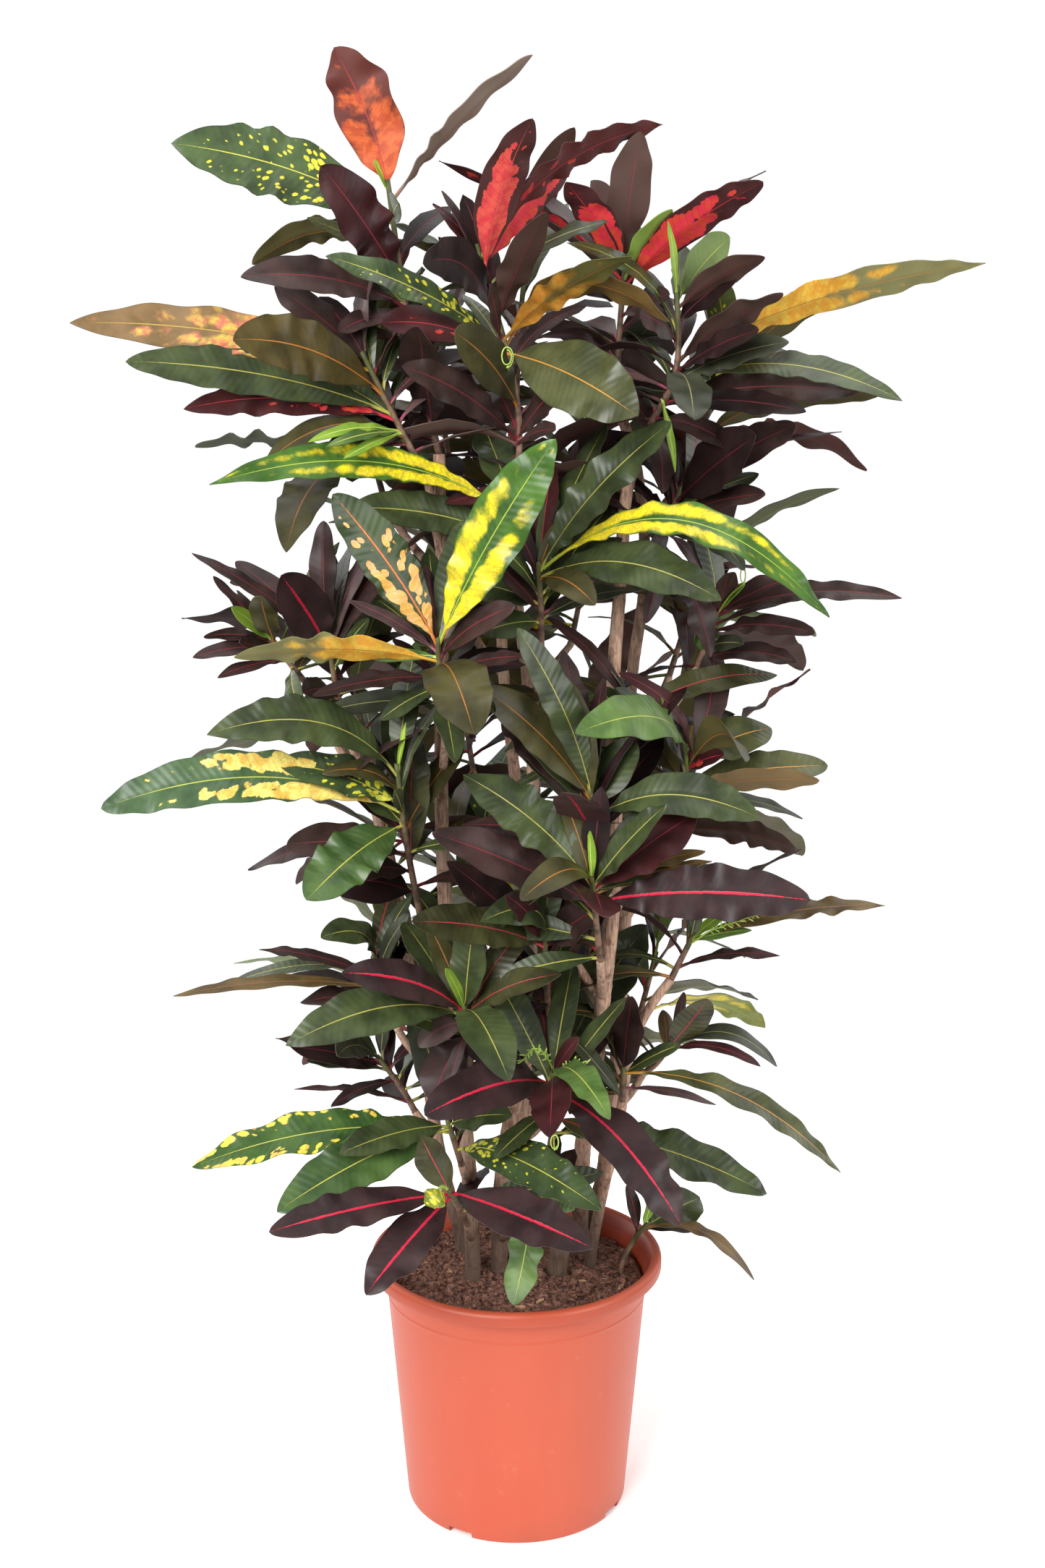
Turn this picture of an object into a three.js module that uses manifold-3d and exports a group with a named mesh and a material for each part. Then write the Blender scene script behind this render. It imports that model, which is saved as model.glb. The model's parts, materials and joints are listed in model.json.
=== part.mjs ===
// A potted croton: a nursery pot full of peat, seven woody trunks and a cut stump standing in it,
// and the leafy shoots that they carry. Millimetres, +Z up, the origin at the middle of the pot's
// underside. The front of the plant is its -Y side.
import * as THREE from "three";
import { mergeVertices } from "three/addons/utils/BufferGeometryUtils.js";
import Module from "manifold-3d";

const wasm = await Module();
wasm.setup();

// ---------------------------------------------------------------- driving dimensions

const GAP = 0.3;

const POT_HEIGHT = 240;
const RIM_RADIUS = 135;
const BASE_RADIUS = 102.5;
const WALL_TOP_RADIUS = 121.8;
const WALL_TOP_HEIGHT = 227;
const WALL_THICKNESS = 2;
const FLOOR_THICKNESS = 2.2;
const CHANNEL_RADIUS = 79;
const CHANNEL_HALF_WIDTH = 7;
const CHANNEL_HEIGHT = 6;
const DRAIN_HOLES = 6;
const DRAIN_RADIUS = 5;
const FOOT_NOTCHES = 4;
const NOTCH_WIDTH = 24;
const NOTCH_HEIGHT = 6;
const NOTCH_TURN = -120;
const POT_SIDES = 26;

const SOIL_EDGE_HEIGHT = 217;
const SOIL_MOUND_HEIGHT = 226;
const SOIL_SIDES = 20;
const ROOT_DEPTH = 40;

const TRUNK_SIDES = 5;
const BRANCH_SIDES = 4;
const BRANCH_RADIUS = 4.2;
const STEM_SIDES = 3;
const STEM_RADIUS = 4.2;

const LEAF_THICKNESS = 1.6;
const PETIOLE_WIDTH = 3.4;
const PETIOLE_THICKNESS = 2.6;
const ROOT_TAPER = 0.8;
const PETIOLE_SHARE = 0.13;
const WAVE_SHARE = 0.07;
const CLEARANCE = 1;

// The front shoots are placed as they are seen from an eye level with the foliage: across (u) and up
// (v) on the upright plane through the pot's axis, and how near to the viewer (n) the point really is.
const EYE = new THREE.Vector3(5.7, -1800, 1062);

// A leaf is [at, u, v, n, width, bow, face]: where on the stem it grows (0 root, 1 tip), where its
// tip is seen, its widest width, how far it arches as a share of its length, and how much of its
// upper side (1) or underside (-1) is turned to the front. Leaves under 20 wide are left out.
const FRONT_SHOOTS = [
  { name: "shoot_top_left", trunk: 4,
    stem: [[-66, 972, 32], [-92, 1090, 38], [-106, 1190, 36]],
    leaves: [
      [0.98, -150, 1304, 36, 58, 0.05, -0.9], [0.88, -287, 1228, 62, 56, 0.06, 0.85],
      [0.6, -163, 1210, 98, 48, 0.04, 0.85], [0.95, 14, 1298, 8, 40, 0.03, -0.3],
      [0.72, -222, 1130, 16, 32, 0.2, -0.6], [0.7, -175, 1168, 52, 22, 0.04, -0.5],
      [0.66, -142, 1166, 8, 30, 0.05, -0.7], [0.52, -232, 1120, 112, 38, 0.08, 0.75],
      [0.08, -82, 1078, 68, 48, 0.05, 0.75] ] },
  { name: "shoot_left", trunk: 4, fork: 890,
    stem: [[-76, 950, 52], [-102, 1000, 62], [-128, 1052, 66]],
    leaves: [
      [0.95, -204, 1112, 58, 42, 0.05, 0.6], [0.9, -378, 1082, 62, 46, 0.08, 0.8],
      [0.55, -332, 1050, 102, 42, 0.05, 0.85], [0.7, -240, 1068, 135, 50, 0.1, 0.9],
      [0.5, -284, 1010, 76, 36, 0.08, 0.8], [0.35, -218, 961, 92, 28, 0.18, 0.6],
      [0.3, -224, 952, 22, 26, 0.06, 0.5] ] },
  { name: "shoot_top", trunk: 3,
    stem: [[-5, 890, 32], [2, 1010, 44], [-30, 1136, 44]],
    leaves: [
      [0.94, 14, 1248, 62, 42, 0.06, -0.85], [0.98, 122, 1243, 18, 36, 0.12, -0.5],
      [0.96, 52, 1218, -6, 32, 0.05, -0.8], [0.9, 77, 1165, 78, 22, 0.08, 0.5],
      [0.78, 25, 1173, 84, 34, 0.04, -0.8], [0.77, -78, 1131, 74, 40, 0.2, 0.75],
      [0.72, 98, 1137, 122, 32, 0.06, -0.75], [0.69, 130, 1083, 100, 38, 0.3, -0.6],
      [0.685, 104, 1004, 152, 62, 0.05, 0.95],
      [0.715, -160, 1137, 126, 30, 0.05, 0.7], [0.66, -114, 1082, 98, 40, 0.1, 0.6],
      [0.39, -97, 1046, 112, 34, 0.06, 0.8], [0.5, -52, 1074, 120, 42, 0.08, 0.85],
      [0.385, 52, 1040, 98, 28, 0.06, 0.7],
      [0.12, -264, 946, 96, 36, 0.12, 0.8], [0.03, -142, 926, 64, 38, 0.06, 0.85],
      [0.16, -28, 997, 2, 40, 0.03, 0.8] ] },
  { name: "shoot_top_right", trunk: 2,
    stem: [[85, 1018, -25], [88, 1075, -25], [92, 1132, -25]],
    leaves: [
      [0.86, -64, 1214, 20, 24, 0.05, -0.5], [0.84, -3, 1200, -34, 24, 0.06, 0.5],
      [0.95, 104, 1238, -22, 40, 0.03, -0.9], [0.9, 63, 1198, -52, 36, 0.05, -0.8],
      [0.95, 42, 1197, 8, 36, 0.04, -0.8], [0.86, 131, 1175, -10, 24, 0.05, -0.8],
      [0.8, 207, 1197, 16, 38, 0.06, -0.8], [0.85, 209, 1206, -44, 20, 0.06, 0.4] ] },
  { name: "shoot_right_top", trunk: 1,
    stem: [[108, 986, 12], [136, 1040, 16], [136, 1106, 10]],
    leaves: [
      [0.95, 180, 1152, -32, 36, 0.06, -0.8], [0.92, 138, 1142, -48, 26, 0.06, -0.6],
      [0.9, 210, 1136, 22, 32, 0.06, -0.7], [0.55, 226, 1106, 52, 34, 0.06, -0.6],
      [0.58, 396, 1131, 18, 36, 0.05, -0.75], [0.5, 206, 1076, 84, 28, 0.05, 0.6],
      [0.4, 232, 1066, 62, 34, 0.06, 0.6], [0.4, 330, 1017, 82, 32, 0.12, 0.6],
      [0.25, 292, 1024, 40, 38, 0.06, 0.75], [0.25, 248, 1008, 76, 30, 0.05, 0.6],
      [0.5, 152, 1002, 114, 38, 0.1, 0.85], [0.12, 126, 938, 58, 30, 0.1, 0.6] ] },
  { name: "shoot_right", trunk: 2, fork: 850,
    stem: [[118, 884, 8], [130, 912, 12], [142, 942, 12]],
    leaves: [
      [0.8, 206, 987, 64, 50, 0.04, 0.85], [0.95, 198, 993, -14, 38, 0.2, 0.6],
      [0.9, 240, 997, 22, 38, 0.04, 0.75],
      [0.6, 209, 955, 34, 28, 0.05, 0.7], [0.55, 215, 938, 60, 28, 0.05, 0.6],
      [0.35, 198, 872, 34, 28, 0.2, 0.7], [0.4, 172, 833, -4, 20, 0.12, 0.6],
      [0.25, 170, 796, 16, 32, 0.08, 0.7], [0.2, 150, 783, -20, 26, 0.08, 0.7],
      [0.3, 113, 826, 30, 22, 0.1, 0.7] ] },
  { name: "shoot_right_low", trunk: 2, fork: 700,
    stem: [[158, 785, -5], [168, 812, 0], [177, 840, 0]],
    leaves: [
      [0.92, 184, 870, 12, 28, 0.04, 0.7], [0.9, 243, 867, -6, 28, 0.04, 0.8],
      [0.85, 336, 848, 16, 26, 0.08, 0.6], [0.6, 261, 817, 38, 26, 0.08, 0.6],
      [0.15, 247, 791, 26, 28, 0.1, 0.6]] },
  { name: "shoot_fan_right", trunk: 1, fork: 575,
    stem: [[122, 640, 34], [140, 672, 44], [156, 706, 52]],
    leaves: [
      [0.95, 90, 782, 92, 22, 0.15, 0.5], [0.9, 225, 733, 18, 44, 0.1, 0.85],
      [0.9, 203, 703, 62, 38, 0.28, -0.75],
      [0.6, 276, 699, 28, 38, 0.05, 0.8], [0.5, 269, 686, 50, 30, 0.05, -0.6],
      [0.3, 255, 651, 16, 20, 0.12, 0.5], [0.8, 88, 769, 118, 22, 0.08, 0.6],
      [0.85, 52, 738, 130, 46, 0.2, 0.6], [0.7, 98, 742, 70, 36, 0.08, -0.75] ] },
  { name: "shoot_behind_fan", trunk: 1, fork: 668,
    stem: [[99, 712, 62], [103, 730, 68], [105, 750, 70]],
    leaves: [
      [0.9, 229, 780, 64, 32, 0.09, 0.75], [0.6, 165, 735, 24, 20, 0.1, 0.6]] },
  { name: "shoot_mid", green: true, trunk: 3, fork: 740,
    stem: [[22, 796, 62], [22, 834, 74], [20, 873, 80]],
    leaves: [
      [0.95, 133, 999, 112, 42, 0.06, 0.8], [0.97, 273, 831, 132, 38, 0.26, 0.75],
      [0.9, 179, 846, 145, 46, 0.14, 0.8], [0.88, 69, 842, 160, 28, 0.12, 0.85],
      [0.98, 32, 968, 22, 26, 0.04, 0.7], [0.96, 78, 998, 40, 30, 0.04, 0.7],
      [0.94, 54, 987, 8, 24, 0.04, 0.7], [0.5, 92, 848, 22, 24, 0.06, 0.5],
      [0.6, -45, 862, 64, 36, 0.06, 0.8], [0.4, -32, 816, 92, 32, 0.08, 0.8] ] },
  { name: "shoot_yellow", green: true, trunk: 4, fork: 690,
    stem: [[-62, 735, 92], [-66, 770, 108], [-68, 807, 122]],
    leaves: [
      [0.98, 34, 985, 178, 52, 0.03, 0.95], [0.96, -158, 938, 152, 46, 0.04, 0.9],
      [0.8, -247, 796, 150, 32, 0.06, -0.65], [0.75, -37, 727, 205, 62, 0.2, 0.95],
      [0.6, -179, 762, 132, 28, 0.06, 0.5], [0.4, -54, 702, 150, 30, 0.1, 0.75],
      [0.82, -1, 841, 156, 28, 0.08, 0.7],
      [0.5, -18, 747, 176, 22, 0.06, 0.7],
      [0.88, -120, 846, 62, 34, 0.05, 0.7] ] },
  { name: "shoot_left_small", trunk: 5,
    stem: [[-150, 733, 12], [-158, 768, 16], [-163, 806, 20]],
    leaves: [
      [0.95, -281, 887, 16, 20, 0.05, 0.6], [0.96, -243, 880, -8, 28, 0.04, 0.8],
      [0.9, -204, 868, 56, 44, 0.03, 0.95], [0.97, -166, 915, 30, 28, 0.04, 0.8],
      [0.86, -113, 912, 66, 24, 0.1, 0.6],
      [0.8, -146, 858, -14, 22, 0.05, 0.7], [0.4, -187, 764, 52, 26, 0.08, 0.7],
      [0.2, -186, 742, 30, 30, 0.1, -0.6] ] },
  { name: "shoot_left_tip", trunk: 5, fork: 660,
    stem: [[-178, 765, -8], [-196, 788, -2], [-214, 813, 4]],
    leaves: [
      [0.9, -222, 850, 22, 28, 0.04, 0.85],
      [0.9, -273, 814, 2, 20, 0.08, 0.5], [0.8, -283, 796, 28, 20, 0.06, 0.6],
      [0.6, -242, 809, 50, 20, 0.05, 0.6], [0.5, -188, 742, 42, 22, 0.1, 0.7] ] },
  { name: "shoot_mid_left", green: true, trunk: 4, fork: 530,
    stem: [[-86, 560, 62], [-98, 630, 95], [-105, 694, 106]],
    leaves: [
      [0.95, -273, 727, 152, 46, 0.2, 0.8], [0.7, -369, 660, 142, 50, 0.1, 0.85],
      [0.75, -213, 702, 92, 40, 0.08, 0.8], [0.82, -172, 692, 66, 22, 0.2, 0.6],
      [0.6, -149, 691, 132, 30, 0.06, 0.8], [0.62, -188, 576, 192, 50, 0.06, 0.9],
      [0.4, -205, 627, 98, 40, 0.08, 0.75], [0.15, -167, 592, 88, 50, 0.1, 0.75],
      [0.3, -152, 601, 128, 30, 0.08, 0.7], [0.32, -90, 733, 134, 38, 0.04, 0.85],
      [0.7, -122, 681, 62, 20, 0.06, 0.6] ] },
  { name: "shoot_mid_front", green: true, trunk: 1, fork: 588,
    stem: [[76, 600, 112], [72, 636, 124], [66, 673, 132]],
    leaves: [
      [0.95, 1, 822, 168, 34, 0.05, 0.85], [0.9, -29, 769, 182, 38, 0.06, 0.85],
      [0.8, 104, 724, 112, 38, 0.04, 0.85], [0.7, 216, 652, 165, 42, 0.16, 0.85],
      [0.3, 44, 675, 180, 42, 0.05, -0.85], [0.5, 113, 692, 84, 28, 0.05, 0.7],
      [0.92, -12, 741, 98, 44, 0.05, 0.75], [0.94, 42, 802, 84, 36, 0.05, 0.75],
      [0.97, 82, 834, 62, 42, 0.05, 0.8] ] },
  { name: "shoot_low_front", trunk: 1, fork: 500,
    stem: [[76, 518, 112], [72, 556, 142], [68, 592, 170]],
    leaves: [
      [0.95, -47, 691, 222, 48, 0.12, 0.85], [0.93, 134, 664, 196, 28, 0.05, 0.75],
      [0.9, 162, 657, 150, 50, 0.05, 0.8], [0.75, 264, 576, 220, 50, 0.06, 0.9],
      [0.7, -75, 638, 222, 42, 0.04, 0.85], [0.97, 4, 576, 230, 28, 0.25, 0.8],
      [0.8, 78, 561, 262, 42, 0.1, 0.6],
      [0.7, 215, 601, 92, 26, 0.1, 0.6] ] },
  { name: "shoot_low_centre", green: true, trunk: 3, fork: 420,
    stem: [[30, 455, 62], [28, 495, 84], [26, 536, 106]],
    leaves: [
      [0.95, -94, 556, 175, 38, 0.06, 0.85], [0.92, -32, 556, 152, 32, 0.3, 0.8],
      [0.97, -10, 581, 196, 28, 0.06, 0.8], [0.95, 76, 569, 142, 36, 0.05, 0.8],
      [0.9, -62, 612, 92, 42, 0.05, 0.8], [0.94, 4, 652, 92, 38, 0.04, 0.8],
      [0.1, 95, 391, 152, 22, 0.08, 0.6] ] },
  { name: "shoot_low_left", green: true, trunk: 4, fork: 388,
    stem: [[-40, 405, 82], [-44, 440, 104], [-47, 472, 126]],
    leaves: [
      [0.95, -158, 508, 195, 36, 0.1, 0.8], [0.9, -210, 439, 202, 46, 0.16, 0.85],
      [0.95, -37, 562, 128, 36, 0.04, 0.85], [0.93, -68, 558, 92, 40, 0.04, 0.8],
      [0.9, -101, 556, 58, 36, 0.05, 0.7], [0.7, -77, 384, 134, 46, 0.1, 0.85],
      [0.8, -89, 438, 192, 32, 0.2, 0.7],
      [0.97, -6, 404, 222, 44, 0.22, 0.9], [0.9, 41, 507, 158, 32, 0.12, 0.7] ] },
  { name: "shoot_left_low", green: true, trunk: 5, fork: 410,
    stem: [[-108, 455, 0], [-118, 486, 10], [-128, 519, 20]],
    leaves: [
      [0.95, -176, 541, 32, 32, 0.32, 0.6], [0.93, -110, 550, 0, 38, 0.05, -0.8],
      [0.6, -311, 486, 42, 22, 0.06, 0.5], [0.85, -266, 494, 6, 22, 0.1, 0.5],
      [0.5, -203, 507, -20, 24, 0.06, 0.6], [0.45, -196, 480, 8, 26, 0.06, 0.7] ] },
  { name: "shoot_left_dark", trunk: 5, fork: 340,
    stem: [[-92, 374, -30], [-106, 400, -22], [-124, 425, -14]],
    leaves: [
      [0.9, -206, 438, 14, 36, 0.03, 0.7],
      [0.8, -192, 424, 34, 20, 0.05, 0.6], [0.92, -163, 429, 54, 28, 0.15, 0.7],
      [0.98, -166, 468, -4, 24, 0.05, 0.7]] },
  { name: "shoot_low_node", trunk: 3, fork: 312,
    stem: [[30, 332, 62], [34, 370, 96], [33, 409, 132]],
    leaves: [
      [0.9, -84, 372, 215, 46, 0.13, 0.85], [0.93, 31, 350, 235, 40, 0.15, 0.85],
      [0.97, 86, 368, 222, 28, 0.15, 0.8], [0.8, 153, 264, 214, 48, 0.19, 0.85],
      [0.3, 232, 295, 122, 42, 0.12, 0.8]] },
  { name: "shoot_low_back", green: true, trunk: 3, fork: 340,
    stem: [[34, 376, -16], [38, 400, -14], [42, 426, -10]],
    leaves: [
      [0.9, 118, 553, -14, 56, 0.04, 0.9],
      [0.8, 22, 506, -6, 24, 0.05, 0.8] ] },
  { name: "shoot_low_right", green: true, trunk: 7, fork: 352,
    stem: [[97, 384, 42], [98, 398, 48], [98, 414, 52]],
    leaves: [
      [0.95, 299, 316, 92, 32, 0.15, 0.6],
      [0.97, 105, 486, 58, 40, 0.04, 0.7] ] },
  { name: "shoot_right_twig", trunk: 7, fork: 392,
    stem: [[116, 412, 12], [128, 422, 12], [138, 436, 14]],
    leaves: [
      [0.95, 174, 483, 42, 32, 0.03, 0.85],
      [0.95, 238, 419, 4, 24, 0.25, 0.6] ] },
  { name: "shoot_cut_branch", trunk: 7,
    stem: [[140, 502, 30], [148, 519, 30], [157, 538, 30]],
    leaves: [
      [0.97, 331, 571, 42, 28, 0.06, 0.6]] },
  { name: "shoot_base_front", trunk: 4, fork: 262,
    stem: [[-45, 264, 62], [-53, 280, 112], [-62, 298, 168]],
    leaves: [
      [0.9, -230, 257, 214, 40, 0.1, 0.75], [0.86, -141, 194, 232, 44, 0.08, 0.9],
      [0.95, 71, 241, 240, 48, 0.12, 0.85], [0.9, -88, 352, 140, 36, 0.04, 0.8] ] },
  { name: "shoot_base_left", green: true, trunk: 4, fork: 318,
    stem: [[-50, 322, 56], [-56, 342, 74], [-62, 363, 92]],
    leaves: [
      [0.9, -222, 277, 172, 52, 0.08, 0.9], [0.95, -163, 334, 122, 36, 0.08, 0.8],
      [0.8, -299, 321, 102, 44, 0.12, 0.8], [0.4, 79, 279, 196, 44, 0.15, 0.85],
      [0.98, -4, 372, 128, 32, 0.08, 0.7] ] },
  { name: "shoot_base_centre", green: true, trunk: 3, fork: 255,
    stem: [[-2, 262, 42], [6, 270, 66], [12, 280, 92]],
    leaves: [
      [0.95, -3, 184, 172, 34, 0.15, 0.85], [0.9, 54, 280, 150, 28, 0.1, 0.8] ] },
  { name: "shoot_seedling", green: true, foot: [98, -6],
    stem: [[108, 246, -4], [112, 254, -2], [119, 262, 0]],
    leaves: [
      [0.9, 222, 209, 44, 20, 0.2, 0.5],
      [0.95, 170, 291, -32, 46, 0.05, 0.85], [0.85, 173, 261, 4, 20, 0.05, 0.6] ] },
];

// The shoots of the sides and the back follow a rule: root and tip in space, and a number of leaves
// that stand round the stem by the golden angle, mostly turned away from the plant's middle.
const BACK_SHOOTS = [
  { name: "shoot_back_top", trunk: 6,
    stem: [[0, 112, 1012], [2, 118, 1060], [6, 122, 1112]], count: 7 },
  { name: "shoot_back_high_left", green: true, trunk: 6, fork: 900,
    stem: [[-62, 150, 960], [-70, 160, 1000], [-78, 168, 1042]], count: 5 },
  { name: "shoot_back_high_right", trunk: 6, fork: 880,
    stem: [[62, 160, 930], [72, 172, 968], [82, 182, 1004]], count: 6 },
  { name: "shoot_side_high_right", green: true, trunk: 2, fork: 905,
    stem: [[150, 62, 952], [164, 68, 986], [176, 74, 1022]], count: 5 },
  { name: "shoot_side_high_left", trunk: 4, fork: 870,
    stem: [[-118, 62, 930], [-128, 70, 968], [-136, 78, 1010]], count: 6 },
  { name: "shoot_back_upper_left", green: true, trunk: 6, fork: 760,
    stem: [[-52, 186, 812], [-58, 198, 846], [-62, 208, 882]], count: 5 },
  { name: "shoot_back_upper_right", trunk: 6, fork: 740,
    stem: [[52, 190, 780], [60, 204, 816], [66, 216, 852]], count: 6 },
  { name: "shoot_side_upper_right", green: true, trunk: 2, fork: 705,
    stem: [[140, 92, 762], [152, 102, 798], [162, 112, 832]], count: 5 },
  { name: "shoot_side_upper_left", trunk: 5, fork: 640,
    stem: [[-136, 72, 700], [-146, 84, 736], [-152, 94, 772]], count: 5 },
  { name: "shoot_back_mid_left", trunk: 6, fork: 600,
    stem: [[-42, 190, 652], [-48, 204, 688], [-52, 216, 722]], count: 5 },
  { name: "shoot_back_mid_right", green: true, trunk: 6, fork: 560,
    stem: [[52, 182, 612], [60, 196, 648], [66, 208, 682]], count: 6 },
  { name: "shoot_side_mid_right", trunk: 2, fork: 540,
    stem: [[130, 102, 582], [142, 114, 618], [152, 126, 652]], count: 5 },
  { name: "shoot_side_mid_left", green: true, trunk: 5, fork: 520,
    stem: [[-112, 102, 562], [-120, 114, 598], [-127, 126, 632]], count: 5 },
  { name: "shoot_back_low_left", green: true, trunk: 6, fork: 430,
    stem: [[-32, 162, 482], [-38, 176, 518], [-42, 188, 552]], count: 5 },
  { name: "shoot_back_low_right", trunk: 6, fork: 400,
    stem: [[62, 152, 442], [70, 166, 478], [76, 178, 512]], count: 5 },
  { name: "shoot_side_low_right", green: true, trunk: 2, fork: 380,
    stem: [[112, 82, 422], [122, 92, 456], [132, 102, 492]], count: 5 },
  { name: "shoot_side_low_left", trunk: 5, fork: 345,
    stem: [[-82, 92, 392], [-90, 106, 428], [-97, 118, 462]], count: 5 },
  { name: "shoot_back_base", green: true, trunk: 6, fork: 300,
    stem: [[12, 122, 332], [14, 136, 362], [16, 148, 394]], count: 5 },
];

// A trunk stands at its foot (x, y) and passes through points given as the front shoots are.
const TRUNKS = [
  { foot: [60, 38], radii: [8.5, 5], path: [[59, 290, -26], [62, 350, -6], [73, 430, 34], [80, 500, 52],
    [86, 565, 56], [88, 650, 46], [85, 760, 40], [91, 865, 30], [95, 935, 16], [107, 984, 12]] },
  { foot: [72, 62], radii: [7, 4.5], path: [[82, 330, -56], [93, 450, -62], [99, 600, -56], [101, 765, -36],
    [112, 868, -18], [104, 960, -26], [85, 1016, -25]] },
  { foot: [-16, -8], radii: [8, 5], path: [[-12, 320, 12], [5, 430, 22], [12, 520, 22], [16, 640, 16],
    [12, 760, 12], [0, 850, 22], [-5, 888, 32]] },
  { foot: [-40, -24], radii: [7.5, 5], path: [[-44, 320, 24], [-52, 420, 28], [-62, 540, 28], [-66, 640, 30],
    [-66, 740, 38], [-64, 850, 40], [-66, 970, 32]] },
  { foot: [-52, 36], radii: [6.5, 4.5], path: [[-70, 330, -36], [-85, 440, -38], [-105, 560, -32],
    [-125, 660, -20], [-150, 731, 12]] },
  { foot: [4, 62], radii: [7, 4.5], path: [[2, 340, -84], [12, 480, -96], [4, 640, -110], [-12, 800, -120],
    [-8, 930, -116], [0, 1018, -112]] },
  { foot: [70, 6], radii: [5.5, 4], path: [[82, 306, 8], [92, 345, 18], [99, 400, 24], [105, 440, 28],
    [121, 475, 30], [139.5, 501, 30]] },
];
// The stub of a pruned twig on the first trunk, from a height on the trunk to where its end is seen.
const PRUNED_STUB = { trunk: 1, fork: 496, end: [52, 520, 50], radius: 4 };
const STUMP = { foot: [38, -14], height: 26, radius: 9.5, lean: [3, -2] };

const COLOURS = {
  pot: "#e8744f", soil: "#4a3027", bark: "#9c8168",
  plum: "#3a1a1e", green: "#24461f",
};

// ---------------------------------------------------------------- small helpers

const GOLDEN_TURN = 0.381966 * 360;
const radians = THREE.MathUtils.degToRad;
const vector = (point) => new THREE.Vector3(...point);

// A point seen at (u, v) on the upright plane through the axis, standing n nearer to the eye.
function seen([u, v, n]) {
  const onPlane = new THREE.Vector3(u, 0, v);
  return onPlane.sub(EYE).multiplyScalar(1 + n / EYE.y).add(EYE);
}

function solidFrom(geometry) {
  const bare = geometry.index ? geometry.clone() : mergeVertices(geometry);
  bare.deleteAttribute("normal");
  bare.deleteAttribute("uv");
  const merged = mergeVertices(bare, 1e-5);
  return new wasm.Manifold(new wasm.Mesh({
    numProp: 3,
    vertProperties: new Float32Array(merged.attributes.position.array),
    triVerts: new Uint32Array(merged.index.array),
  }));
}

function meshFrom(name, solid, colour, roughness) {
  const { vertProperties, triVerts } = solid.getMesh();
  const geometry = new THREE.BufferGeometry();
  geometry.setAttribute("position", new THREE.BufferAttribute(vertProperties, 3));
  geometry.setIndex(new THREE.BufferAttribute(triVerts, 1));
  geometry.computeVertexNormals();
  const material = new THREE.MeshStandardMaterial({ color: colour, roughness, metalness: 0 });
  const mesh = new THREE.Mesh(geometry, material);
  mesh.name = name;
  return mesh;
}

// A closed skin over rings of equal count, seen clockwise from the start, from a flat start to a
// point or a flat end. Neighbouring strips are cut along mirrored diagonals, so that the two faces
// of a thin waved blade are split alike.
function loft(rings, apex) {
  const sides = rings[0].length;
  const points = rings.flat();
  const faces = [];
  for (let ring = 0; ring + 1 < rings.length; ring += 1) {
    for (let side = 0; side < sides; side += 1) {
      const next = (side + 1) % sides;
      const [a, b] = [ring * sides + side, ring * sides + next];
      const [c, d] = [b + sides, a + sides];
      faces.push(...(side % 2 ? [a, b, d, b, c, d] : [a, b, c, a, c, d]));
    }
  }
  for (let side = 1; side + 1 < sides; side += 1) {
    faces.push(0, side + 1, side);
  }
  const last = (rings.length - 1) * sides;
  if (apex) {
    points.push(apex);
    for (let side = 0; side < sides; side += 1) {
      faces.push(last + side, last + (side + 1) % sides, points.length - 1);
    }
  } else {
    for (let side = 1; side + 1 < sides; side += 1) {
      faces.push(last, last + side, last + side + 1);
    }
  }
  const geometry = new THREE.BufferGeometry().setFromPoints(points);
  geometry.setIndex(faces);
  return geometry;
}

// A tapered round bar through the given points; its ends are square to endTangents where given.
function bar(points, radii, sides, { startTangent, endTangent, apex } = {}) {
  const tangents = points.map((point, i) => {
    const before = points[Math.max(i - 1, 0)];
    const after = points[Math.min(i + 1, points.length - 1)];
    return after.clone().sub(before).normalize();
  });
  tangents[0] = startTangent ?? tangents[0];
  tangents[points.length - 1] = endTangent ?? tangents[points.length - 1];
  const across = new THREE.Vector3(1, 0, 0);
  const rings = points.map((point, i) => {
    across.addScaledVector(tangents[i], -across.dot(tangents[i])).normalize();
    const up = tangents[i].clone().cross(across);
    return Array.from({ length: sides }, (_, side) => {
      const turn = (side / sides) * 2 * Math.PI;
      return point.clone()
        .addScaledVector(across, radii[i] * Math.cos(turn))
        .addScaledVector(up, radii[i] * Math.sin(turn));
    });
  });
  return solidFrom(loft(rings, apex));
}

function along(points, share) {
  const place = THREE.MathUtils.clamp(share, 0, 1) * (points.length - 1);
  const index = Math.min(Math.floor(place), points.length - 2);
  return points[index].clone().lerp(points[index + 1], place - index);
}

function direction(from, to) {
  return to.clone().sub(from).normalize();
}

// ---------------------------------------------------------------- pot and soil

function turnedSolid(profile, sides) {
  const lathe = new THREE.LatheGeometry(profile.map(([r, z]) => new THREE.Vector2(r, z)), sides);
  return solidFrom(lathe.rotateX(Math.PI / 2));
}

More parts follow.
